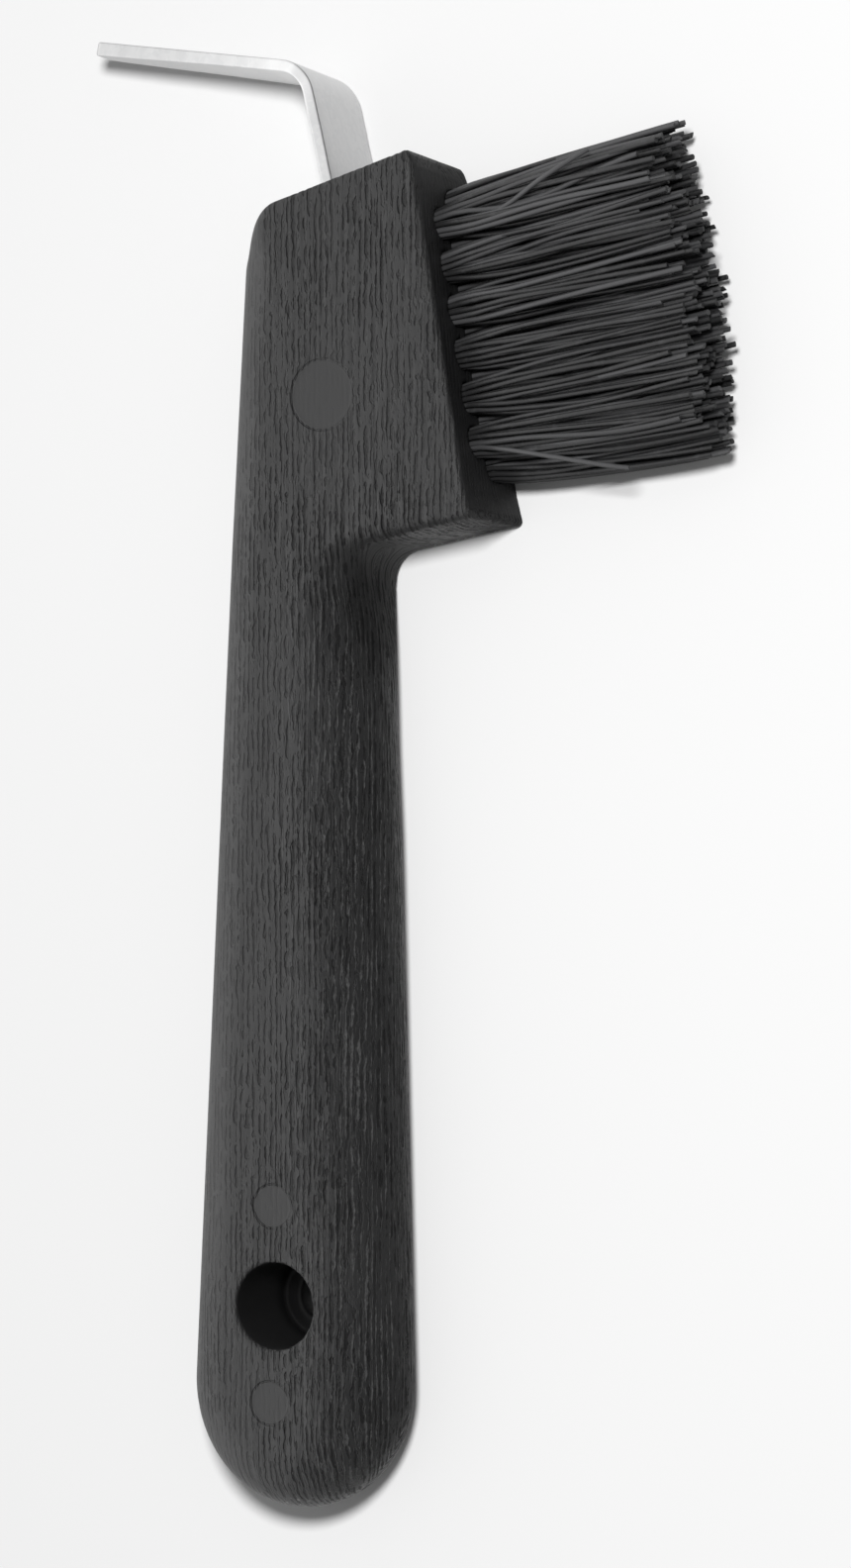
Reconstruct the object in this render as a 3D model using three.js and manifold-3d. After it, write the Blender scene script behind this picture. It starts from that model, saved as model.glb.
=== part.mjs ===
// Hoof pick: a moulded handle with an offset head, a bent steel pick set into
// the top of the head, and two staggered rows of bristle tufts in its side,
// each tuft held in its blind hole by a flat anchor.
//
// Millimetres. +Y runs up the handle to the pick, +X to the brush, +Z out of
// the front face. The tool lies on its back on z = 0, and the origin is below
// the middle of its bounding box.

import * as THREE from 'three';
import { mergeVertices } from 'three/addons/utils/BufferGeometryUtils.js';
import Module from 'manifold-3d';

const wasm = await Module();
wasm.setup();

// ---------------------------------------------------------------- dimensions

const HALF_THICKNESS = 7.8;          // handle and head, front face to middle
const CENTRE = [-3.697, 3.105];      // middle of the bounding box, drawing coordinates

// Handle side lines, as x = a + b * (y - y0), and the rounded butt.
const LEFT = { a: -26.6, b: 0.0486, y0: 24.4 };
const RIGHT = { a: -5.22, b: -0.0275, y0: 24.3 };
const NECK = [[-4.93, 5, 7.4], [-5.19, 12, 7.1], [-5.66, 17.5, 6.2], [-6.35, 21, 4.6], [-7.0, 24.3, 3.1]];   // x, y, rounding
const BUTT = { x: -16.97, y: -75.7, rx: 14.47, ry: 15.75 };

// Head: top edge, brush side and underside.
const TOP_LEFT = [-23.95, 71.75];    // where the left side and the top edge would meet
const TOP_LEFT_RADIUS = 9.2;
const TOP_RIGHT = [1.15, 78.5];
const CORNER_RADIUS = 0.5;
// Brush side, top to bottom, as x, y and edge rounding.
const BRUSH_SIDE = [[1.9, 77.7, 0.9], [2.45, 76.4, 1.0], [2.7, 74.8, 1.0], [2.95, 72.5, 0.7], [3.3, 70.15, 0.4], [9.2, 36.12, 0.4], [9.7, 34.1, 0.4]];
const BOTTOM_RIGHT = [10.12, 32.52];
const UNDERSIDE_SLOPE = 0.17;
const NECK_FILLET = 4.2;

// Edge rounding of the front and back faces, along the outline.
const EDGE = { left: 6.8, top: 0.6, brush: 0.4, underside: 1.2, neck: 2.4, right: 7.5 };
const EDGE_STEPS = 5;

// Hanging hole: a wide bore from the front, then a narrower one out of the back,
// because no light comes through it at the photo's angle.
const HOLE = { x: -17.3, y: -65.43, r: 5.42, depth: 12.6, backR: 3.0 };

// Pick: a flat strip, bent once, tapered along the arm, its tang in the head.
const STRIP = 1.55;                  // thickness
const BEND_POINT = [-13.38, 90.88];  // where the outer faces of arm and leg would meet
const ARM_RISE = 11.4;               // degrees above the X axis, towards the tip
const LEG_LEAN = 13.1;               // degrees from the Y axis
const BEND_RADIUS = 5.9;             // outside
const ARM_LENGTH = 34.85;            // bend point to tip
const LEG_LENGTH = 37.8;             // bend point to the tang's end
const BLADE_HALF_WIDTH = 6.5;
const TIP_HALF_WIDTH = 1.9;
const TAPER_START_X = -16.2;
const TANG_HALF_WIDTH = 4.75;
const TANG_SHOULDER = 15.6;          // bend point to the shoulders, along the leg
const TANG_HOLE = { r: 2.5, at: 26.0 };
const GAP = 0.3;

// Brush: tufts on the face line, measured along it from FACE_START.
const FACE_START = [3.3, 70.15];
const FACE_END = [9.2, 36.12];
const PITCH = 5.58;
const ROWS = [
  { z: 1.9, tipZ: 2.4, first: 0.3, count: 6 },
  { z: -1.9, tipZ: -2.4, first: -2.49, count: 7 },
];
const TUFT = { holeR: 2.05, holeDepth: 9.0, rootR: 1.72, rootDepth: 8.6, tipAlong: 2.65, tipAcross: 2.15, sides: 12 };
const ANCHOR = { thick: 0.45, high: 2.0, wide: 3.3, bottom: 7.6 };
const SLOT = { thick: 1.05, from: 7.9, to: 5.3 };

// ------------------------------------------------------------------- helpers

const rad = THREE.MathUtils.degToRad;

function toManifold(geometry) {
  const g = geometry.clone();
  g.deleteAttribute('normal');
  g.deleteAttribute('uv');
  const merged = mergeVertices(g, 1e-5);
  const index = merged.index.array;
  const kept = [];
  for (let i = 0; i < index.length; i += 3) {
    const [a, b, c] = [index[i], index[i + 1], index[i + 2]];
    if (a !== b && b !== c && c !== a) kept.push(a, b, c);
  }
  return new wasm.Manifold(new wasm.Mesh({
    numProp: 3,
    vertProperties: new Float32Array(merged.attributes.position.array),
    triVerts: new Uint32Array(kept),
  }));
}

function toGeometry(solid) {
  const mesh = solid.getMesh();
  const g = new THREE.BufferGeometry();
  const n = mesh.vertProperties.length / mesh.numProp;
  const points = new Float32Array(n * 3);
  for (let i = 0; i < n; i++) {
    for (let k = 0; k < 3; k++) points[3 * i + k] = mesh.vertProperties[mesh.numProp * i + k];
  }
  g.setAttribute('position', new THREE.BufferAttribute(points, 3));
  g.setIndex(new THREE.BufferAttribute(new Uint32Array(mesh.triVerts), 1));
  g.computeVertexNormals();
  return g;
}

function shapeOf(points) {
  return new THREE.Shape(points.map(([x, y]) => new THREE.Vector2(x, y)));
}

// An arc that rounds the corner at p between the directions of a and b.
function corner(a, p, b, radius, steps) {
  const P = new THREE.Vector2(...p);
  const u = new THREE.Vector2(...a).sub(P).normalize();
  const v = new THREE.Vector2(...b).sub(P).normalize();
  const half = Math.acos(THREE.MathUtils.clamp(u.dot(v), -1, 1)) / 2;
  const centre = P.clone().add(u.clone().add(v).normalize().multiplyScalar(radius / Math.sin(half)));
  const start = P.clone().add(u.clone().multiplyScalar(radius / Math.tan(half))).sub(centre);
  const turn = Math.PI - 2 * half;
  const end = P.clone().add(v.clone().multiplyScalar(radius / Math.tan(half))).sub(centre);
  const way = Math.sign(start.cross(end));
  const out = [];
  for (let i = 0; i <= steps; i++) {
    const q = start.clone().rotateAround(new THREE.Vector2(), (way * turn * i) / steps).add(centre);
    out.push([q.x, q.y]);
  }
  return out;
}

// ------------------------------------------------------------ handle outline

// The outline runs anticlockwise seen from the front, and each point carries
// the rounding of the front and back edges there.
function handleOutline() {
  const leftX = (y) => LEFT.a + LEFT.b * (y - LEFT.y0);
  const rightX = (y) => RIGHT.a + RIGHT.b * (y - RIGHT.y0);
  const underY = (x) => BOTTOM_RIGHT[1] - UNDERSIDE_SLOPE * (BOTTOM_RIGHT[0] - x);
  const out = [];
  const add = (p, r) => out.push({ p, r });

  // Butt, from the left side round to the right side.
  const n = 22;
  for (let i = 0; i <= n; i++) {
    const t = Math.PI + (Math.PI * i) / n;
    const r = THREE.MathUtils.lerp(EDGE.left, EDGE.right, i / n);
    add([BUTT.x + BUTT.rx * Math.cos(t), BUTT.y + BUTT.ry * Math.sin(t)], r);
  }
  // Right side, up to the neck, where the rounding eases off.
  for (const y of [-50, -25, -6]) add([rightX(y), y], EDGE.right);
  for (const [x, y, r] of NECK) add([x, y], r);
  // Neck fillet, between the neck and the underside of the head.
  const last = NECK[NECK.length - 1];
  const cornerPoint = [last[0] - 0.35, underY(last[0] - 0.35)];
  const fillet = corner([last[0], last[1]], cornerPoint, [8, underY(8)], NECK_FILLET, 8);
  fillet.forEach((p, i) => add(p, THREE.MathUtils.lerp(EDGE.neck, EDGE.underside, i / 8)));
  add([2, underY(2)], EDGE.underside);
  add([6, underY(6)], EDGE.underside);
  // Lower brush corner, brush side, upper corner.
  const lowest = BRUSH_SIDE[BRUSH_SIDE.length - 1];
  for (const p of corner([2, underY(2)], BOTTOM_RIGHT, lowest.slice(0, 2), CORNER_RADIUS, 4)) add(p, EDGE.brush);
  for (const [x, y, r] of [...BRUSH_SIDE].reverse()) add([x, y], r);
  for (const p of corner(BRUSH_SIDE[0].slice(0, 2), TOP_RIGHT, TOP_LEFT, CORNER_RADIUS, 4)) add(p, EDGE.brush);
  for (const x of [-4, -10, -15]) {
    const t = (x - TOP_LEFT[0]) / (TOP_RIGHT[0] - TOP_LEFT[0]);
    add([x, TOP_LEFT[1] + t * (TOP_RIGHT[1] - TOP_LEFT[1])], EDGE.top);
  }
  // Upper left corner: the rounding grows from the top edge to the side.
  const arc = corner(TOP_RIGHT, TOP_LEFT, [leftX(30), 30], TOP_LEFT_RADIUS, 12);
  arc.forEach((p, i) => add(p, THREE.MathUtils.lerp(EDGE.top, EDGE.left, THREE.MathUtils.smoothstep(i / 12, 0, 0.85))));
  for (const y of [55, 40, 24, 0, -25, -50]) add([leftX(y), y], EDGE.left);
  return out;
}

// A plate with the given outline, whose front and back edges are rounded by
// each point's own radius: rings of the outline, moved inwards, and two caps.
function roundedPlate(outline, half, steps) {
  const count = outline.length;
  const pts = outline.map((o) => new THREE.Vector2(...o.p));
  const inward = pts.map((p, i) => {
    const a = pts[(i + count - 1) % count];
    const b = pts[(i + 1) % count];
    const d = b.clone().sub(a).normalize();
    return new THREE.Vector2(-d.y, d.x);
  });
  const levels = [];
  for (let k = 0; k <= steps; k++) levels.push({ side: -1, t: (Math.PI / 2) * (1 - k / steps) });
  for (let k = 0; k <= steps; k++) levels.push({ side: 1, t: (Math.PI / 2) * (k / steps) });
  const position = [];
  const ring = ({ side, t }) => pts.map((p, i) => {
    const r = outline[i].r;
    const q = p.clone().add(inward[i].clone().multiplyScalar(r * (1 - Math.cos(t))));
    return [q.x, q.y, side * (half - r + r * Math.sin(t))];
  });
  const rings = levels.map(ring);
  rings.flat().forEach((q) => position.push(...q));
  const index = [];
  for (let k = 0; k + 1 < rings.length; k++) {
    for (let i = 0; i < count; i++) {
      const j = (i + 1) % count;
      const [a, b, c, d] = [k * count + i, k * count + j, (k + 1) * count + j, (k + 1) * count + i];
      index.push(a, b, c, a, c, d);
    }
  }
  const cap = (k, flip) => {
    const contour = rings[k].map(([x, y]) => new THREE.Vector2(x, y));
    for (const [a, b, c] of THREE.ShapeUtils.triangulateShape(contour, [])) {
      const [x, y, z] = [k * count + a, k * count + b, k * count + c];
      index.push(...(flip ? [x, z, y] : [x, y, z]));
    }
  };
  cap(0, true);
  cap(rings.length - 1, false);
  const g = new THREE.BufferGeometry();
  g.setAttribute('position', new THREE.Float32BufferAttribute(position, 3));
  g.setIndex(index);
  return g;
}

// --------------------------------------------------------------- pick and tang

const armDir = new THREE.Vector2(-Math.cos(rad(ARM_RISE)), Math.sin(rad(ARM_RISE)));
const legDir = new THREE.Vector2(Math.sin(rad(LEG_LEAN)), -Math.cos(rad(LEG_LEAN)));
const armIn = new THREE.Vector2(-armDir.y, armDir.x);   // from the arm's outer face inwards
const legIn = new THREE.Vector2(legDir.y, -legDir.x);   // from the leg's outer face inwards

// The strip's outline seen from the front: outer faces, bend, inner faces.
function stripProfile(extra, legLength) {
  const P = new THREE.Vector2(...BEND_POINT);
  const outerArm = P.clone().addScaledVector(armDir, ARM_LENGTH);
  const outerLeg = P.clone().addScaledVector(legDir, legLength);
  const inner = (from, inDir) => from.clone().addScaledVector(inDir, STRIP + extra);
  // Inner faces meet where their lines cross.
  const A = inner(P, armIn);
  const L = inner(P, legIn);
  const s = new THREE.Vector2().subVectors(L, A).cross(legDir) / armDir.cross(legDir);
  const Q = A.clone().addScaledVector(armDir, s);
  const arr = (v) => [v.x, v.y];
  const outerArc = corner(arr(outerArm), arr(P), arr(outerLeg), BEND_RADIUS, 8);
  const innerArc = corner(arr(outerLeg.clone().addScaledVector(legIn, STRIP)), arr(Q), arr(outerArm.clone().addScaledVector(armIn, STRIP)), BEND_RADIUS - STRIP, 8);
  const tipTop = corner(arr(P), arr(outerArm), arr(inner(outerArm, armIn)), 0.55, 3);
  const tipBottom = corner(arr(outerArm), arr(inner(outerArm, armIn)), arr(Q), 0.45, 3);
  return [
    ...[...outerArc].reverse(),
    ...tipTop,
    ...tipBottom,
    ...[...innerArc].reverse(),
    arr(inner(outerLeg, legIn)),
    arr(outerLeg),
  ];
}

function pickBlade() {
  const strip = toManifold(new THREE.ExtrudeGeometry(shapeOf(stripProfile(0, LEG_LENGTH)), {
    depth: 2 * BLADE_HALF_WIDTH, bevelEnabled: false,
  }).translate(0, 0, -BLADE_HALF_WIDTH));
  // Plan of the blade seen along -Y: the taper of the arm and its blunt tip.
  const tipX = BEND_POINT[0] + armDir.x * ARM_LENGTH;
  const t = TIP_HALF_WIDTH;
  const plan = [
    [tipX - 1, -t + 0.7], [tipX + 0.1, -t + 0.7], [tipX + 0.7, -t], [TAPER_START_X, -BLADE_HALF_WIDTH - 0.01], [10, -BLADE_HALF_WIDTH - 0.01],
    [10, BLADE_HALF_WIDTH + 0.01], [TAPER_START_X, BLADE_HALF_WIDTH + 0.01], [tipX + 0.7, t], [tipX + 0.1, t - 0.7], [tipX - 1, t - 0.7],
  ];
  const planSolid = toManifold(new THREE.ExtrudeGeometry(shapeOf(plan), { depth: 80, bevelEnabled: false })
    .rotateX(Math.PI / 2).translate(0, 120, 0));
  let blade = strip.intersect(planSolid);
  // Shoulders: the tang is narrower than the blade.
  const along = (d) => new THREE.Vector2(...BEND_POINT).addScaledVector(legDir, d);
  const rest = LEG_LENGTH - TANG_SHOULDER + 2;
  for (const side of [-1, 1]) {
    const c = along(TANG_SHOULDER + rest / 2);
    const cut = new THREE.BoxGeometry(8, rest, 4).rotateZ(rad(LEG_LEAN))
      .translate(c.x, c.y, side * (TANG_HALF_WIDTH + 2));
    blade = blade.subtract(toManifold(cut));
  }
  const h = along(TANG_HOLE.at).addScaledVector(legIn, STRIP / 2);
  const drill = new THREE.CylinderGeometry(TANG_HOLE.r, TANG_HOLE.r, 8, 20).rotateZ(Math.PI / 2 + rad(LEG_LEAN)).translate(h.x, h.y, 0);
  return blade.subtract(toManifold(drill));
}

// The room for the tang: the strip with a gap all round, less the post that
// passes through the tang's hole and keeps it in the handle.
function tangPocket() {
  const along = (d) => new THREE.Vector2(...BEND_POINT).addScaledVector(legDir, d);
  const box = (from, to, halfWidth) => {
    const c = along((from + to) / 2).addScaledVector(legIn, STRIP / 2);
    return toManifold(new THREE.BoxGeometry(STRIP + 2 * GAP, to - from, 2 * halfWidth)
      .rotateZ(rad(LEG_LEAN)).translate(c.x, c.y, 0));
  };
  const mouth = box(8, TANG_SHOULDER + GAP, BLADE_HALF_WIDTH + GAP);
  const tang = box(10, LEG_LENGTH + GAP, TANG_HALF_WIDTH + GAP);
  const h = along(TANG_HOLE.at).addScaledVector(legIn, STRIP / 2);
  const r = TANG_HOLE.r - GAP;
  const post = toManifold(new THREE.CylinderGeometry(r, r, 8, 20).rotateZ(Math.PI / 2 + rad(LEG_LEAN)).translate(h.x, h.y, 0));
  return mouth.add(tang).subtract(post);
}

// -------------------------------------------------------------------- brush

const faceA = new THREE.Vector2(...FACE_START);
const faceDir = new THREE.Vector2(...FACE_END).sub(faceA).normalize();
const faceOut = new THREE.Vector2(-faceDir.y, faceDir.x);

// A frame at a tuft's hole: Y out of the face, X along the row, Z across.
function tuftMatrix(s, z) {
  const o = faceA.clone().addScaledVector(faceDir, s);
  return new THREE.Matrix4().makeBasis(
    new THREE.Vector3(faceDir.x, faceDir.y, 0),
    new THREE.Vector3(faceOut.x, faceOut.y, 0),
    new THREE.Vector3(0, 0, 1),
  ).setPosition(o.x, o.y, z);
}

const bristleLength = (s) => 33.0 - 1.9 * ((s - 14) / 18) ** 2;
const splay = (s) => THREE.MathUtils.mapLinear(s, -2.49, 31.0, 0.0, 2.5);

// One tuft, in its own frame: a round root in the hole, flaring to an oval
// tip, with the window that its anchor passes through at the fold.
function tuftSolid(s, row) {
  const n = TUFT.sides;
  const length = bristleLength(s);
  const rings = [
    { y: -TUFT.rootDepth, a: TUFT.rootR * 0.82, b: TUFT.rootR * 0.82, x: 0, z: 0 },
    { y: -TUFT.rootDepth + 0.5, a: TUFT.rootR, b: TUFT.rootR, x: 0, z: 0 },
    { y: 0.2, a: TUFT.rootR, b: TUFT.rootR, x: 0, z: 0 },
    { y: 1.6, a: 2.3, b: 1.85, x: splay(s) * 0.03, z: (row.tipZ - row.z) * 0.1 },
    { y: length, a: TUFT.tipAlong, b: TUFT.tipAcross, x: splay(s), z: row.tipZ - row.z },
  ];
  const position = [];
  for (const r of rings) {
    for (let i = 0; i < n; i++) {
      const t = (2 * Math.PI * (i + 0.5)) / n;
      position.push(r.x + r.a * Math.cos(t), r.y, r.z + r.b * Math.sin(t));
    }
  }
  const index = [];
  for (let k = 0; k + 1 < rings.length; k++) {
    for (let i = 0; i < n; i++) {
      const j = (i + 1) % n;
      const [a, b, c, d] = [k * n + i, k * n + j, (k + 1) * n + j, (k + 1) * n + i];
      index.push(a, c, b, a, d, c);
    }
  }
  for (let i = 1; i + 1 < n; i++) {
    index.push(0, i, i + 1);
    const k = (rings.length - 1) * n;
    index.push(k, k + i + 1, k + i);
  }
  const g = new THREE.BufferGeometry();
  g.setAttribute('position', new THREE.Float32BufferAttribute(position, 3));
  g.setIndex(index);
  const window_ = new THREE.BoxGeometry(SLOT.thick, SLOT.from - SLOT.to, 8).translate(0, -(SLOT.from + SLOT.to) / 2, 0);
  return toManifold(g).subtract(toManifold(window_));
}

// ------------------------------------------------------------------ assembly

const group = new THREE.Group();
const shift = new THREE.Group();
shift.position.set(-CENTRE[0], -CENTRE[1], HALF_THICKNESS);
group.add(shift);

function addMesh(name, geometry, material) {
  const mesh = new THREE.Mesh(geometry, material);
  mesh.name = name;
  shift.add(mesh);
  return mesh;
}

const blackPlastic = () => new THREE.MeshStandardMaterial({ color: 0x434343, roughness: 0.55, metalness: 0 });
const zincSteel = () => new THREE.MeshStandardMaterial({ color: 0xd6d6d6, roughness: 0.35, metalness: 1 });
const bristle = () => new THREE.MeshStandardMaterial({ color: 0x2e2e2e, roughness: 0.45, metalness: 0 });
const anchorWire = () => new THREE.MeshStandardMaterial({ color: 0xb8b2a6, roughness: 0.4, metalness: 1 });

// Handle body, with the hanging hole, the tang's pocket and the tuft holes.
let body = toManifold(roundedPlate(handleOutline(), HALF_THICKNESS, EDGE_STEPS));
for (const [r, from] of [[HOLE.r, HALF_THICKNESS - HOLE.depth], [HOLE.backR, -12]]) {
  const bore = new THREE.CylinderGeometry(r, r, 12 - from, 40).rotateX(Math.PI / 2).translate(HOLE.x, HOLE.y, (12 + from) / 2);
  body = body.subtract(toManifold(bore));
}
body = body.subtract(tangPocket());

const tufts = [];
for (const row of ROWS) {
  for (let i = 0; i < row.count; i++) tufts.push({ row, s: row.first + PITCH * i });
}
for (const { row, s } of tufts) {
  const depth = TUFT.holeDepth;
  const drill = new THREE.CylinderGeometry(TUFT.holeR, TUFT.holeR, depth + 4, TUFT.sides, 1, false, Math.PI / TUFT.sides)
    .translate(0, 2 - depth / 2, 0).applyMatrix4(tuftMatrix(s, row.z));
  body = body.subtract(toManifold(drill));
}
addMesh('handle_body', toGeometry(body), blackPlastic());
addMesh('pick_blade', toGeometry(pickBlade()), zincSteel());

tufts.forEach(({ row, s }, k) => {
  const id = String(k + 1).padStart(2, '0');
  const m = tuftMatrix(s, row.z);
  const tuft = addMesh(`tuft_${id}`, toGeometry(tuftSolid(s, row)), bristle());
  tuft.applyMatrix4(m);
  const plate = new THREE.BoxGeometry(ANCHOR.thick, ANCHOR.high, ANCHOR.wide).translate(0, -ANCHOR.bottom + ANCHOR.high / 2, 0);
  const anchor = addMesh(`tuft_anchor_${id}`, plate, anchorWire());
  anchor.applyMatrix4(m);
});

export default group;
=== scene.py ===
# Hoof pick with a brush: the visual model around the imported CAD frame.
# Shapes are drawn in millimetres in the drawing's own axes (x to the brush,
# y up to the pick, z out of the front face, middle plane z = 0) and moved into
# the row frame in metres when each mesh is made.

import math

import bpy
import numpy as np
from mathutils import Matrix, Vector


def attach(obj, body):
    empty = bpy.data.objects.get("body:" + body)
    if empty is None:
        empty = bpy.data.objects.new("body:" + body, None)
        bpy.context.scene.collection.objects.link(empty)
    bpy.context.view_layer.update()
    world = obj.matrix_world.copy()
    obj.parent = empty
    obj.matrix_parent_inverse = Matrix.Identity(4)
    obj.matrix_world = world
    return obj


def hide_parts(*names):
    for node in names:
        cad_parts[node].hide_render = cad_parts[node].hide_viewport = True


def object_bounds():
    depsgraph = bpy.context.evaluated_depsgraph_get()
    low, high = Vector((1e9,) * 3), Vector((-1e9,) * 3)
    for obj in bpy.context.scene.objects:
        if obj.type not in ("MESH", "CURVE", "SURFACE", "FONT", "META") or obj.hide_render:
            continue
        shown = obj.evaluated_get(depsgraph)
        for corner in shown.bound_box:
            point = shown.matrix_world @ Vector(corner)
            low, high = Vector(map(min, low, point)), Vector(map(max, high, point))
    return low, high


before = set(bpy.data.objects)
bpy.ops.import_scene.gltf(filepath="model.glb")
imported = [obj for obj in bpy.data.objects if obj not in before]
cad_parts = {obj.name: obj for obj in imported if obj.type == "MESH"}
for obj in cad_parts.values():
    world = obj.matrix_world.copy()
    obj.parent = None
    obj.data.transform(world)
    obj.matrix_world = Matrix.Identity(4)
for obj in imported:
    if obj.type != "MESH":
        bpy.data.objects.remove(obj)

CAD_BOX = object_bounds()

# ------------------------------------------------------------------ the frame

OFFSET = np.array([3.697, -3.105, 7.8])      # drawing to row frame, mm
HALF = 7.8                                   # half thickness


def to_row(points):
    return (np.asarray(points, float) + OFFSET) / 1000.0


def make_object(name, verts, faces, smooth=True):
    """verts in drawing millimetres, faces as an index array or a list."""
    mesh = bpy.data.meshes.new(name)
    v = to_row(verts)
    if isinstance(faces, np.ndarray):
        n = faces.shape[1]
        mesh.vertices.add(len(v))
        mesh.vertices.foreach_set("co", v.ravel())
        mesh.loops.add(faces.size)
        mesh.loops.foreach_set("vertex_index", faces.ravel().astype(np.int32))
        mesh.polygons.add(len(faces))
        mesh.polygons.foreach_set("loop_start", (np.arange(len(faces)) * n).astype(np.int32))
        mesh.update(calc_edges=True)
        mesh.validate()
    else:
        mesh.from_pydata([tuple(p) for p in v], [], [tuple(f) for f in faces])
        mesh.update()
    if smooth:
        mesh.polygons.foreach_set("use_smooth", np.ones(len(mesh.polygons), bool))
    ob = bpy.data.objects.new(name, mesh)
    bpy.context.scene.collection.objects.link(ob)
    return ob


def add_attribute(ob, name, kind, data):
    a = ob.data.attributes.new(name, kind, "POINT")
    a.data.foreach_set("vector" if kind == "FLOAT_VECTOR" else "value", np.asarray(data, np.float32).ravel())


# ------------------------------------------------------------- handle outline

LEFT = (-26.6, 0.0486, 24.4)
RIGHT = (-5.22, -0.0275, 24.3)
# x, y, and the edge rounding of the front and the back
NECK = [(-4.93, 5, 7.5, 7.4), (-5.19, 12, 7.5, 7.1), (-5.66, 17.5, 7.4, 6.2), (-6.35, 21, 7.2, 4.6), (-7.0, 24.3, 6.8, 3.1)]
BUTT = (-16.97, -75.7, 14.47, 15.75)
TOP_LEFT, TOP_LEFT_RADIUS = (-23.95, 71.75), 9.2
TOP_RIGHT = (1.15, 78.5)
BRUSH_SIDE = [(1.9, 77.7, 0.9), (2.45, 76.4, 1.0), (2.7, 74.8, 1.0), (2.95, 72.5, 0.7), (3.3, 70.15, 0.4), (9.2, 36.12, 0.4), (9.7, 34.1, 0.4)]
BOTTOM_RIGHT = (10.12, 32.52)
UNDER_SLOPE = 0.17
HOLE = (-17.3, -65.43, 5.42)
HOLE_DEPTH_FRONT, HOLE_BACK = 12.6, 3.0      # the wide bore from the front, then the narrow one
WIDE_RIGHT = 1.31                            # the right side is rounded over a broader band than it is deep
EDGE_LEFT, EDGE_RIGHT, EDGE_TOP, EDGE_BRUSH, EDGE_UNDER, EDGE_NECK = 6.8, 7.5, 0.6, 0.4, 1.2, 2.4
EDGE_UNDER_NECK = 2.1                       # front edge of the underside where it leaves the neck


def corner(a, p, b, radius, steps):
    a, p, b = (np.array(q[:2], float) for q in (a, p, b))
    u = (a - p) / np.linalg.norm(a - p)
    v = (b - p) / np.linalg.norm(b - p)
    half = math.acos(max(-1.0, min(1.0, float(u @ v)))) / 2
    m = (u + v) / np.linalg.norm(u + v)
    centre = p + m * radius / math.sin(half)
    start = p + u * radius / math.tan(half) - centre
    end = p + v * radius / math.tan(half) - centre
    way = math.copysign(1, start[0] * end[1] - start[1] * end[0])
    turn = math.pi - 2 * half
    out = []
    for i in range(steps + 1):
        t = way * turn * i / steps
        c, s = math.cos(t), math.sin(t)
        out.append(centre + np.array([c * start[0] - s * start[1], s * start[0] + c * start[1]]))
    return out


def smoothstep(x, a=0.0, b=1.0):
    t = np.clip((np.asarray(x, float) - a) / (b - a), 0, 1)
    return t * t * (3 - 2 * t)


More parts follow.
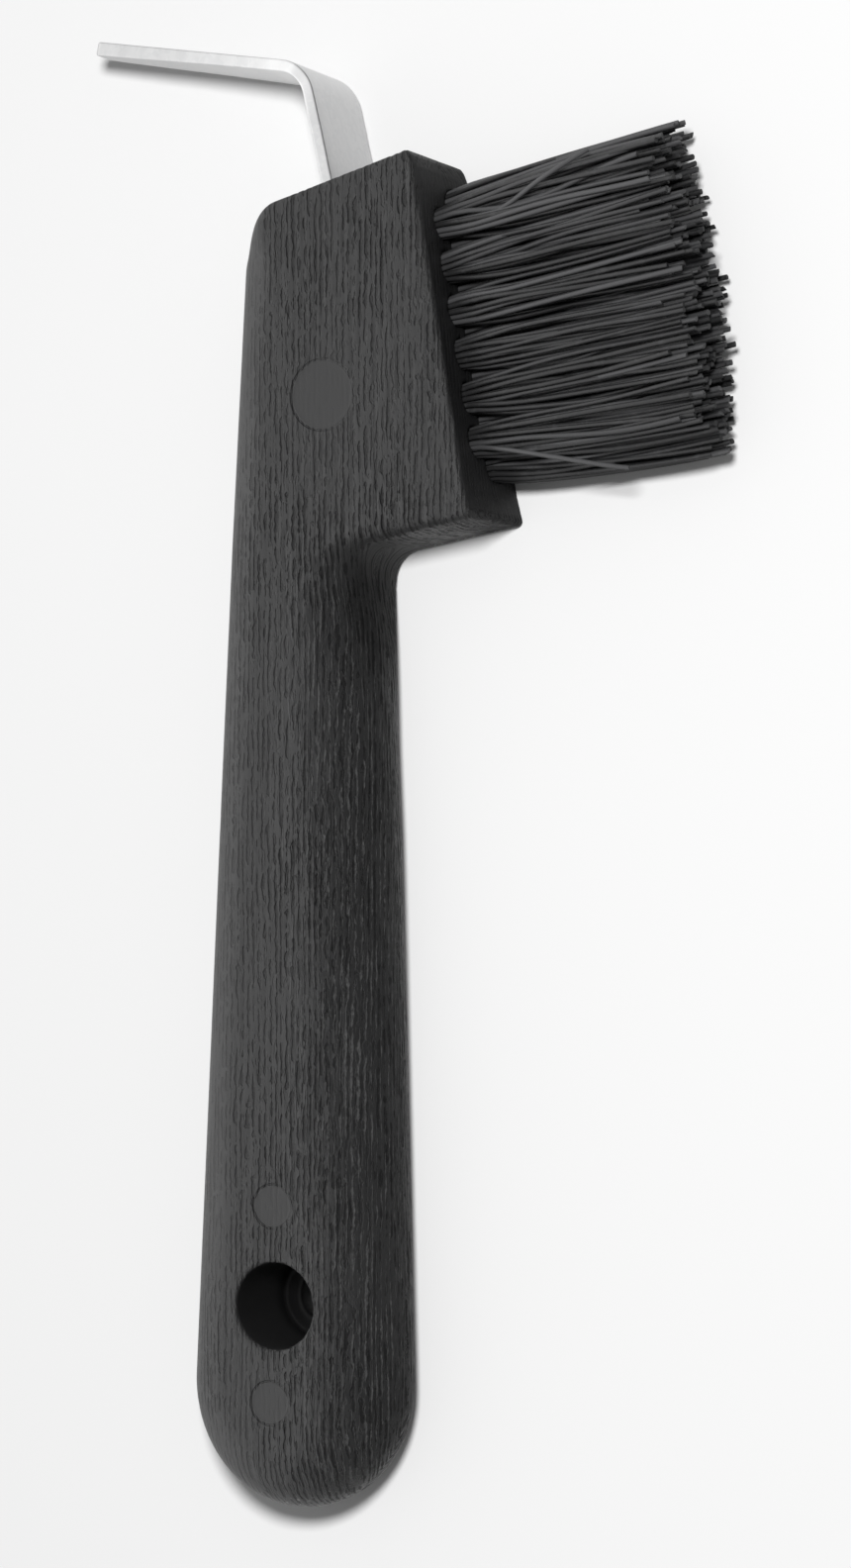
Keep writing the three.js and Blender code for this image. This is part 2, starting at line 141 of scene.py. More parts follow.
def outline():
    """Dense closed outline, anticlockwise, as x, y, the front's rounding, its width to depth, and the back's rounding."""
    left_x = lambda y: LEFT[0] + LEFT[1] * (y - LEFT[2])
    right_x = lambda y: RIGHT[0] + RIGHT[1] * (y - RIGHT[2])
    under_y = lambda x: BOTTOM_RIGHT[1] - UNDER_SLOPE * (BOTTOM_RIGHT[0] - x)
    pts = []
    add = lambda p, r, k=1.0, back=None: pts.append((float(p[0]), float(p[1]), float(r), float(k), float(r if back is None else back)))
    n = 90
    for i in range(n + 1):
        t = math.pi * (1 + i / n)
        wide = 1 + (WIDE_RIGHT - 1) * float(smoothstep(i / n, 0.35, 1.0))
        add((BUTT[0] + BUTT[2] * math.cos(t), BUTT[1] + BUTT[3] * math.sin(t)), EDGE_LEFT + (EDGE_RIGHT - EDGE_LEFT) * i / n, wide)
    ys = np.arange(-74.5, 25.6, 1.0)
    key_y = [-75, -50, -25, -6] + [k[1] for k in NECK] + [26.0]
    key_x = [right_x(-75), right_x(-50), right_x(-25), right_x(-6)] + [k[0] for k in NECK] + [-7.2]
    key_r = [EDGE_RIGHT] * 4 + [k[2] for k in NECK] + [6.0]
    key_b = [EDGE_RIGHT] * 4 + [k[3] for k in NECK] + [2.5]
    fine = np.arange(-90, 40, 0.25)
    kern = np.exp(-0.5 * (np.arange(-20, 21) * 0.25 / 1.6) ** 2)
    kern /= kern.sum()
    ext_x = np.interp(fine, key_y, key_x)
    ext_x += np.where(fine > 26, -(fine - 26) * 0.12, 0)
    sx = np.convolve(ext_x, kern, "same")
    sr = np.convolve(np.interp(fine, key_y, key_r), kern, "same")
    sb = np.convolve(np.interp(fine, key_y, key_b), kern, "same")
    for y in ys:
        add((np.interp(y, fine, sx), y), np.interp(y, fine, sr), 1 + (WIDE_RIGHT - 1) * (1 - float(smoothstep(y, 20.0, 27.0))), np.interp(y, fine, sb))
    last = pts[-1]
    cp = (last[0] - 0.25, under_y(last[0] - 0.25))
    arc = corner(last, cp, (8, under_y(8)), 3.6, 16)
    for i, p in enumerate(arc):
        add(p, 6.0 + (EDGE_UNDER_NECK - 6.0) * float(smoothstep(i / 16, -0.1, 0.9)), 1.0, EDGE_NECK + (EDGE_UNDER - EDGE_NECK) * i / 16)
    for x in np.arange(arc[-1][0] + 1.0, 9.0, 1.0):
        t = (x - arc[-1][0]) / (9.0 - arc[-1][0])
        add((x, under_y(x)), EDGE_UNDER_NECK + (EDGE_UNDER - EDGE_UNDER_NECK) * t, 1.0, EDGE_UNDER)
    low = BRUSH_SIDE[-1]
    for i, p in enumerate(corner((2, under_y(2)), BOTTOM_RIGHT, low, 0.6, 8)):
        add(p, EDGE_UNDER + (EDGE_BRUSH - EDGE_UNDER) * i / 8)
    rev = BRUSH_SIDE[::-1]
    for k, (x, y, r) in enumerate(rev):
        if k:
            x0, y0, r0 = rev[k - 1]
            m = max(1, int(math.hypot(x - x0, y - y0) / 0.8))
            for j in range(1, m):
                add((x0 + (x - x0) * j / m, y0 + (y - y0) * j / m), r0 + (r - r0) * j / m)
        add((x, y), r)
    for p in corner(BRUSH_SIDE[0], TOP_RIGHT, TOP_LEFT, 0.5, 8):
        add(p, EDGE_BRUSH + 0.1)
    arc = corner(TOP_RIGHT, TOP_LEFT, (left_x(30), 30), TOP_LEFT_RADIUS, 40)
    x_stop = arc[0][0]
    for x in np.arange(0, x_stop, -1.0):
        t = (x - TOP_LEFT[0]) / (TOP_RIGHT[0] - TOP_LEFT[0])
        add((x, TOP_LEFT[1] + t * (TOP_RIGHT[1] - TOP_LEFT[1])), EDGE_TOP)
    for i, p in enumerate(arc):
        add(p, EDGE_TOP + (EDGE_LEFT - EDGE_TOP) * float(smoothstep(i / 40, 0.0, 0.85)))
    # the head's left side leaves the arc on its own straight line and joins the handle's at y = 30
    lean = (TOP_LEFT[0] - left_x(30)) / (TOP_LEFT[1] - 30)
    for y in np.arange(arc[-1][1] - 1.0, -75.2, -1.0):
        add((left_x(30) + lean * (y - 30) if y > 30 else left_x(y), y), EDGE_LEFT)
    return np.array(pts)


OUT = outline()
A = OUT[:, :2]
B = np.roll(A, -1, axis=0)
SEG = B - A
SEG_L2 = (SEG ** 2).sum(1)
SEG_N = np.stack([SEG[:, 1], -SEG[:, 0]], 1) / np.sqrt(SEG_L2)[:, None]
VERT_N = SEG_N + np.roll(SEG_N, 1, axis=0)
VERT_N /= np.linalg.norm(VERT_N, axis=1)[:, None]
VERT_N2 = np.roll(VERT_N, -1, axis=0)
R_A, R_B = OUT[:, 2:5], np.roll(OUT[:, 2:5], -1, axis=0)


def nearest(xy):
    """Signed distance to the outline (negative inside), its direction and the outline's rounding values there."""
    xy = np.asarray(xy, float)
    d, nrm, r = np.empty(len(xy)), np.empty((len(xy), 2)), np.empty((len(xy), 3))
    for s in range(0, len(xy), 3000):
        p = xy[s:s + 3000]
        w = p[:, None, :] - A[None]
        t = np.clip((w * SEG[None]).sum(2) / SEG_L2[None], 0, 1)
        q = w - t[..., None] * SEG[None]
        dd = (q ** 2).sum(2)
        k = dd.argmin(1)
        i = np.arange(len(p))
        tk = t[i, k][:, None]
        n = VERT_N[k] * (1 - tk) + VERT_N2[k] * tk
        n /= np.linalg.norm(n, axis=1)[:, None]
        side = np.sign((q[i, k] * SEG_N[k]).sum(1))
        side[side == 0] = 1
        d[s:s + 3000] = side * np.sqrt(dd[i, k])
        nrm[s:s + 3000] = n
        r[s:s + 3000] = R_A[k] * (1 - tk) + R_B[k] * tk
    return d, nrm, r


def rounding(edge, z):
    """Edge rounding and its width to depth on the front or the back."""
    front = np.asarray(z) > 0
    return np.where(front, edge[..., 0], edge[..., 2]), np.where(front, edge[..., 1], 1.0)


# ------------------------------------------------------- the strip of the pick

STRIP = 1.55
BEND = np.array([-13.38, 90.88])
ARM_RISE, LEG_LEAN = math.radians(11.4), math.radians(13.1)
ARM_DIR = np.array([-math.cos(ARM_RISE), math.sin(ARM_RISE)])
LEG_DIR = np.array([math.sin(LEG_LEAN), -math.cos(LEG_LEAN)])
ARM_IN = np.array([-ARM_DIR[1], ARM_DIR[0]])
LEG_IN = np.array([LEG_DIR[1], -LEG_DIR[0]])
BLADE_HALF, TANG_HALF, SHOULDER, LEG_LENGTH, ARM_LENGTH = 6.5, 4.75, 16.7, 37.8, 34.76

# ---------------------------------------------------------------- brush layout

FACE_A, FACE_B = np.array([3.3, 70.15]), np.array([9.2, 36.12])
FACE_DIR = (FACE_B - FACE_A) / np.linalg.norm(FACE_B - FACE_A)
FACE_OUT = np.array([-FACE_DIR[1], FACE_DIR[0]])
PITCH = 5.58
TUFTS = [(0.3 + PITCH * i, 1.9, 2.4) for i in range(6)] + [(-2.49 + PITCH * i, -1.9, -2.4) for i in range(7)]
HOLE_R, HOLE_DEPTH = 2.05, 9.0


def smax(a, b, k):
    h = np.maximum(k - np.abs(a - b), 0) / k
    return np.maximum(a, b) + h * h * k * 0.25


DISCS = [(-10.54, 48.65, 4.35), (-17.54, -52.93, 2.65), (-17.87, -77.55, 2.65)]


def body_field(x, y, z, d, edge):
    """Field of the handle, negative inside; d and edge belong to x, y."""
    r, wide = rounding(edge, z)
    qx = d / wide + r
    qz = np.abs(z) - (HALF - r)
    # The moulding marks stand a little below the front face, inside a fine ring.
    for cx, cy, cr in DISCS:
        rho = np.hypot(x - cx, y - cy)
        dip = 0.07 * smoothstep(cr - rho, -0.25, 0.30)
        qz = qz + np.where(z > 0, dip, 0)
    f = np.hypot(np.maximum(qx, 0), np.maximum(qz, 0)) + np.minimum(np.maximum(qx, qz), 0) - r
    rho = np.hypot(x - HOLE[0], y - HOLE[1])
    f = smax(f, -np.maximum(rho - HOLE[2], HALF - HOLE_DEPTH_FRONT - z), 0.4)
    f = smax(f, HOLE_BACK - rho, 0.5)
    # Slot for the tang: a close fit at the mouth, and the post left standing.
    px, py = x - BEND[0], y - BEND[1]
    along = px * LEG_DIR[0] + py * LEG_DIR[1]
    across = px * LEG_IN[0] + py * LEG_IN[1] - STRIP / 2
    thick = STRIP / 2 + 0.05
    mouth = np.maximum(np.maximum(np.abs(across) - thick, np.abs(z) - BLADE_HALF - 0.12), np.abs(along - 12.5) - 4.3)
    tang = np.maximum(np.maximum(np.abs(across) - thick, np.abs(z) - TANG_HALF - 0.25), np.abs(along - 24.0) - 14.0)
    post = 2.2 - np.hypot(along - 26.0, z)
    slot = np.maximum(np.minimum(mouth, tang), post)
    f = smax(f, -slot, 0.14)
    # Blind holes for the tufts.
    fx, fy = x - FACE_A[0], y - FACE_A[1]
    s = fx * FACE_DIR[0] + fy * FACE_DIR[1]
    h = fx * FACE_OUT[0] + fy * FACE_OUT[1]
    for s0, z0, _ in TUFTS:
        hole = np.maximum(np.hypot(s - s0, z - z0) - HOLE_R, -h - HOLE_DEPTH)
        f = smax(f, -hole, 0.3)
    return f


def spans(*parts):
    """Grid lines from (start, stop, step) pieces laid end to end."""
    out = [parts[0][0]]
    for a, b, step in parts:
        n = max(1, int(round((b - a) / step)))
        out += list(a + (b - a) * np.arange(1, n + 1) / n)
    return np.array(out)


def surface_net(f, xs, ys, zs):
    """Vertices and quads of the zero surface of f on the grid, outwards where f grows."""
    inside = f < 0
    total = np.zeros(tuple(n - 1 for n in f.shape), np.int8)
    corners = [(i, j, k) for i in (0, 1) for j in (0, 1) for k in (0, 1)]
    nx, ny, nz = f.shape
    for i, j, k in corners:
        total += inside[i:nx - 1 + i, j:ny - 1 + j, k:nz - 1 + k]
    mixed = (total > 0) & (total < 8)
    ci, cj, ck = np.nonzero(mixed)
    index = np.full(mixed.shape, -1, np.int32)
    index[mixed] = np.arange(len(ci))
    acc, cnt = np.zeros((len(ci), 3)), np.zeros(len(ci))
    for a in corners:
        for axis in range(3):
            if a[axis]:
                continue
            b = list(a)
            b[axis] = 1
            ia, ja, ka = ci + a[0], cj + a[1], ck + a[2]
            ib, jb, kb = ci + b[0], cj + b[1], ck + b[2]
            fa, fb = f[ia, ja, ka], f[ib, jb, kb]
            cross = (fa < 0) != (fb < 0)
            t = np.where(cross, fa / np.where(cross, fa - fb, 1), 0)
            p = np.stack([xs[ia] + t * (xs[ib] - xs[ia]), ys[ja] + t * (ys[jb] - ys[ja]), zs[ka] + t * (zs[kb] - zs[ka])], 1)
            acc[cross] += p[cross]
            cnt += cross
    verts = acc / cnt[:, None]
    quads = []
    for axis in range(3):
        lo = [slice(None)] * 3
        hi = [slice(None)] * 3
        lo[axis], hi[axis] = slice(0, -1), slice(1, None)
        a, b = inside[tuple(lo)], inside[tuple(hi)]
        e = a != b
        i, j, k = np.nonzero(e)
        p = [i, j, k]
        u, v = (axis + 1) % 3, (axis + 2) % 3
        keep = (p[u] > 0) & (p[v] > 0) & (p[u] < f.shape[u] - 1) & (p[v] < f.shape[v] - 1)
        p = [q[keep] for q in p]
        out = a[tuple(p)]
        def cell(du, dv):
            q = list(p)
            q[u] = q[u] + du
            q[v] = q[v] + dv
            return index[tuple(q)]
        quad = np.stack([cell(-1, -1), cell(0, -1), cell(0, 0), cell(-1, 0)], 1)
        quad[~out] = quad[~out][:, ::-1]
        quads.append(quad)
    return verts, np.concatenate(quads)


# A value noise that is the same every run, for relief that is real geometry.
RNG = np.random.RandomState(11)
LATTICE = RNG.rand(64, 64, 64)


def noise3(x, y, z):
    p = np.stack([x, y, z], -1)
    i = np.floor(p).astype(int)
    t = p - i
    t = t * t * (3 - 2 * t)
    out = 0
    for a in (0, 1):
        for b in (0, 1):
            for c in (0, 1):
                w = (t[..., 0] if a else 1 - t[..., 0]) * (t[..., 1] if b else 1 - t[..., 1]) * (t[..., 2] if c else 1 - t[..., 2])
                out = out + w * LATTICE[(i[..., 0] + a) % 64, (i[..., 1] + b) % 64, (i[..., 2] + c) % 64]
    return out


def handle():
    k = 1.0
    xs = spans((-32.6, 11.0, 0.26 * k))
    ys = spans((-92.2, -85.0, 0.34 * k), (-85.0, -80.6, 0.6 * k), (-80.6, -58.8, 0.42 * k), (-58.8, -50.0, 0.42 * k), (-50.0, 24.0, 1.2 * k),
               (24.0, 37.0, 0.34 * k), (37.0, 43.8, 0.9 * k), (43.8, 53.6, 0.42 * k), (53.6, 68.0, 0.9 * k), (68.0, 79.4, 0.34 * k))
    zs = spans((-8.1, -6.9, 0.3), (-6.9, -5.1, 0.45), (-5.1, 5.1, 0.6), (5.1, 6.9, 0.45), (6.9, 8.1, 0.3))
    gx, gy = np.meshgrid(xs, ys, indexing="ij")
    d, _, edge = (q.reshape(gx.shape + (1,) + q.shape[1:]) for q in nearest(np.stack([gx.ravel(), gy.ravel()], 1)))
    f = body_field(gx[:, :, None], gy[:, :, None], zs[None, None, :], d, edge)
    verts, quads = surface_net(f, xs, ys, zs)
    e = 0.02
    d, n, edge = nearest(verts[:, :2])
    for turn in range(6):
        if turn == 4:
            d, n, edge = nearest(verts[:, :2])
        x, y, z = verts.T
        f0 = body_field(x, y, z, d, edge)
        g = np.stack([
            body_field(x + e, y, z, d + e * n[:, 0], edge) - body_field(x - e, y, z, d - e * n[:, 0], edge),
            body_field(x, y + e, z, d + e * n[:, 1], edge) - body_field(x, y - e, z, d - e * n[:, 1], edge),
            body_field(x, y, z + e, d, edge) - body_field(x, y, z - e, d, edge)], 1) / (2 * e)
        g2 = np.maximum((g ** 2).sum(1), 0.2)
        step = -(f0 / g2)[:, None] * g
        size = np.linalg.norm(step, axis=1)
        step *= np.minimum(1, 0.25 / np.maximum(size, 1e-9))[:, None]
        verts = verts + step
        d = d + (step[:, :2] * n).sum(1)
    d, n, edge = nearest(verts[:, :2])
    normal = g / np.maximum(np.linalg.norm(g, axis=1), 1e-6)[:, None]
    x, y, z = verts.T
    r, w = rounding(edge, z)
    # Unrolled coordinates: the grain runs along y and wraps round the edges.
    qx, qz = d / w + r, np.abs(z) - (HALF - r)
    t = np.arctan2(np.maximum(qx, 0), np.maximum(qz, 1e-6))
    side = np.where((qx > 0) & (qz < 0), -(HALF - r - np.abs(z)), 0.0)
    excess = np.where(qx > 0, r * (1 + w) / 2 * t - r * w * np.sin(t), 0.0) - side
    excess = np.maximum(excess, 0)
    outer = (d > -r * w * 1.05)
    u = x + np.where(outer, n[:, 0] * excess, 0)
    v = y + np.where(outer, n[:, 1] * excess, 0)
    # Where the grain is: the outer faces, not the holes, the slot or the brush side.
    hole = np.hypot(x - HOLE[0], y - HOLE[1]) < HOLE[2] + 0.05
    fx, fy = x - FACE_A[0], y - FACE_A[1]
    s = fx * FACE_DIR[0] + fy * FACE_DIR[1]
    h = fx * FACE_OUT[0] + fy * FACE_OUT[1]
    deep = d < -0.6
    inner = hole | (deep & (np.abs(z) < HALF - 0.5) & (qx > -50) & (np.abs(np.hypot(np.maximum(qx, 0), np.maximum(qz, 0)) + np.minimum(np.maximum(qx, qz), 0) - r) > 0.3))
    mask = np.where(inner, 0.0, 1.0)
    disc = np.ones(len(x))
    for cx, cy, cr in DISCS:
        rho = np.hypot(x - cx, y - cy)
        disc = disc * np.where(z > 0, smoothstep(rho, cr + 0.1, cr + 0.6), 1)
    brush_face = (h > -0.5) & (s > -6.5) & (s < 37) & (np.abs(normal[:, 0]) > 0.7)
    mask = mask * np.where(brush_face, 0.25, 1.0)
    # the grain dies away on the side wall of the inner corner, where its lines would curl
    curl = np.exp(-((x + 4.6) / 3.4) ** 2 - ((y - 28.6) / 3.4) ** 2) * smoothstep(HALF - np.abs(z), 1.0, 3.5)
    mask = mask * (1 - 0.95 * curl)
    # Real relief: long shallow waves and the wider grooves, deeper on the right.
    right = smoothstep(x - (RIGHT[0] + RIGHT[1] * (y - RIGHT[2])), -17, -4)
    depth = 0.35 + 0.65 * right
    wave = noise3(u * 0.28 + 7, v * 0.035 + 3, z * 0.2 + 9) - 0.5
    wander = 0.8 * noise3(u * 0.22 + 31, v * 0.03 + 17, z * 0.15 + 5)
    phase = (u + wander) / 1.05
    band = np.floor(phase)
    groove = smoothstep(np.cos(2 * math.pi * (phase - band - 0.5)), 0.1, 0.9)
    gate = smoothstep(noise3(band * 7.13 + 2.5, v * 0.16 + band * 3.7, np.where(z < 0, 21.5, 11.5)), 0.42, 0.60)
    relief = 0.05 * wave - 0.075 * groove * gate * depth
    relief = relief * mask * disc
    verts = verts + normal * (relief - 0.012)[:, None]
    verts[:, 2] = np.clip(verts[:, 2], -HALF, HALF)
    ob = make_object("handle_body_visual", verts, quads)
    add_attribute(ob, "flow", "FLOAT_VECTOR", np.stack([u, v, z], 1))
    add_attribute(ob, "grain", "FLOAT", mask)
    import bmesh
    bm = bmesh.new()
    bm.from_mesh(ob.data)
    bmesh.ops.remove_doubles(bm, verts=bm.verts, dist=2e-6)
    bmesh.ops.dissolve_degenerate(bm, dist=1e-6, edges=bm.edges)
    bm.to_mesh(ob.data)
    bm.free()
    ob.data.polygons.foreach_set("use_smooth", np.ones(len(ob.data.polygons), bool))
    return ob


# --------------------------------------------------------------- the pick mesh

def pick():
    """The bent strip as rings of a rounded section along its middle line, flattened to a blunt tip."""
    half_t = STRIP / 2
    # Middle line, from the tip to the tang's end.
    mid_r = 5.9 - half_t
    p_mid = None
    # where the middle lines of arm and leg cross
    a0 = BEND + ARM_IN * half_t
    l0 = BEND + LEG_IN * half_t
    m = np.array([[ARM_DIR[0], -LEG_DIR[0]], [ARM_DIR[1], -LEG_DIR[1]]])
    s = np.linalg.solve(m, l0 - a0)
    p_mid = a0 + ARM_DIR * s[0]
    tip = BEND + ARM_DIR * ARM_LENGTH + ARM_IN * half_t
    end = BEND + LEG_DIR * LEG_LENGTH + LEG_IN * half_t
    arc = corner(tip, p_mid, end, mid_r, 24)
    line = []
    n = 60
    for i in range(n):
        f = i / n
        line.append(tip + (arc[0] - tip) * (f ** 1.35))
    line += arc
    n = 46
    stations = np.linalg.norm(end - arc[-1])
    extra = [SHOULDER - 0.12, SHOULDER, SHOULDER + 0.12]
    for i in range(1, n + 1):
        line.append(arc[-1] + (end - arc[-1]) * i / n)
    line = np.array(line)
    seg = np.diff(line, axis=0)
    length = np.concatenate([[0], np.cumsum(np.linalg.norm(seg, axis=1))])
    tangent = np.gradient(line, axis=0)
    tangent /= np.linalg.norm(tangent, axis=1)[:, None]
    out = np.stack([-tangent[:, 1], tangent[:, 0]], 1)      # towards the outer face
    if out[0] @ (-ARM_IN) < 0:
        out = -out
    bend_at = length[60 + 12]
    verts, rings = [], []
    sec_n = 7
    for i, (p, o) in enumerate(zip(line, out)):
        along_leg = (p - BEND) @ LEG_DIR if i > 60 + 24 else -1
        w = BLADE_HALF
        taper = (-15.5 - p[0]) / (-15.5 - tip[0])
        if taper > 0:
            w = 1.6 + (BLADE_HALF - 1.6) * (1 - min(1.0, taper))
        if along_leg > SHOULDER:
            w = TANG_HALF
        # the strip swells a little outwards across the bend and thins there
        b = math.exp(-((length[i] - bend_at) / 3.2) ** 2)
        th = half_t * (1 - 0.05 * b)
        wob = 0.03 * math.sin(length[i] * 0.7) + 0.02 * math.sin(length[i] * 1.9 + 1)
        if along_leg < SHOULDER:
            w += 0.06 * b + wob
        # blunt rounded tip
        k = length[i]
        if k < 0.55:
            q = math.sqrt(max(0.0, 1 - (1 - k / 0.55) ** 2))
            th = half_t * (0.55 + 0.45 * q)
            w = w - 0.55 * (1 - q)
        ring = []
        e = 0.22 if k > 0.6 else 0.2
        swell = 0.28 * float(smoothstep(k, 26.0, 0.0))       # a little thicker towards the tip, on the inner side
        for sx, sz, t0 in ((1, 1, 0), (-1, 1, 1), (-1, -1, 2), (1, -1, 3)):
            cx, cz = sx * (th - e) - (swell if sx < 0 else 0), sz * (w - e)
            for j in range(4):
                a = (t0 + j / 3.0) * math.pi / 2
                ring.append((cx + e * math.cos(a), cz + e * math.sin(a)))
        # extra points down each wide face, slightly hollow
        full = []
        for q in range(16):
            full.append(ring[q])
            if q in (3, 11):
                r0, r1 = ring[q], ring[(q + 1) % 16]
                for j in range(1, 8):
                    f = j / 8
                    full.append((r0[0] + (r1[0] - r0[0]) * f, r0[1] + (r1[1] - r0[1]) * f))
            if q in (7, 15):
                r0, r1 = ring[q], ring[(q + 1) % 16]
                for j in range(1, 8):
                    f = j / 8
                    full.append((r0[0] + (r1[0] - r0[0]) * f, r0[1] + (r1[1] - r0[1]) * f))
        start = len(verts)
        for ax, az in full:
            q2 = p + o * ax
            verts.append((q2[0], q2[1], az))
        rings.append((start, len(full)))
    faces = []
    for (s0, c), (s1, _) in zip(rings[:-1], rings[1:]):
        for j in range(c):
            j2 = (j + 1) % c
            faces.append((s0 + j, s0 + j2, s1 + j2, s1 + j))
    # end caps as fans
    for s0, c, flip in ((rings[0][0], rings[0][1], True), (rings[-1][0], rings[-1][1], False)):
        mid = np.mean(np.array(verts[s0:s0 + c]), axis=0)
        verts.append(tuple(mid))
        m_i = len(verts) - 1
        for j in range(c):
            j2 = (j + 1) % c
            faces.append((s0 + j2, s0 + j, m_i) if flip else (s0 + j, s0 + j2, m_i))
    verts = np.array(verts)
    ob = make_object("pick_blade_visual", verts, faces)
    # the hole in the tang
    h = BEND + LEG_DIR * 26.0 + LEG_IN * half_t
    bpy.ops.mesh.primitive_cylinder_add(vertices=48, radius=0.0025, depth=0.012)
    cut = bpy.context.active_object
    c3 = to_row([[h[0], h[1], 0]])[0]
    z_axis = Vector((LEG_IN[0], LEG_IN[1], 0)).normalized()
    cut.matrix_world = Matrix.Translation(Vector(c3)) @ z_axis.to_track_quat("Z", "Y").to_matrix().to_4x4()
    mod = ob.modifiers.new("tang_hole", "BOOLEAN")
    mod.object = cut
    mod.operation = "DIFFERENCE"
    mod.solver = "EXACT"
    bpy.context.view_layer.objects.active = ob
    ob.select_set(True)
    with bpy.context.temp_override(object=ob, active_object=ob, selected_objects=[ob]):
        bpy.ops.object.modifier_apply(modifier="tang_hole")
    bpy.data.objects.remove(cut, do_unlink=True)
    # consistent outward faces
    import bmesh
    bm = bmesh.new()
    bm.from_mesh(ob.data)
    bmesh.ops.recalc_face_normals(bm, faces=bm.faces)
    bm.to_mesh(ob.data)
    bm.free()
    ob.data.polygons.foreach_set("use_smooth", np.ones(len(ob.data.polygons), bool))
    edge_angle = math.radians(28)
    bm = bmesh.new()
    bm.from_mesh(ob.data)
    for e in bm.edges:
        if len(e.link_faces) == 2 and e.calc_face_angle(0) > edge_angle:
            e.smooth = False
    bm.to_mesh(ob.data)
    bm.free()
    return ob


# ------------------------------------------------------------------- the tufts

def bristle_length(s):
    return 33.1 - 1.9 * ((s - 14) / 18) ** 2


def splay(s):
    return -0.1 + (s + 2.49) / 33.5 * 2.7


# Two loose filaments that lie across the others: (tuft, points as s along the face, height, z).
STRAYS = {6: [(28.6, -6.0, 2.3), (28.9, 0.0, 3.0), (29.9, 3.0, 4.6), (30.9, 6.0, 5.3), (33.0, 11.5, 5.5), (35.5, 18.0, 5.0), (36.3, 20.6, 4.4)],
          1: [(1.2, -6.0, 2.4), (1.3, 0.0, 2.6), (1.2, 6.0, 2.9), (0.6, 10.5, 3.6), (-0.5, 13.9, 5.1), (-1.5, 17.3, 5.3), (-2.5, 20.2, 4.9), (-3.1, 22.0, 4.5)]}


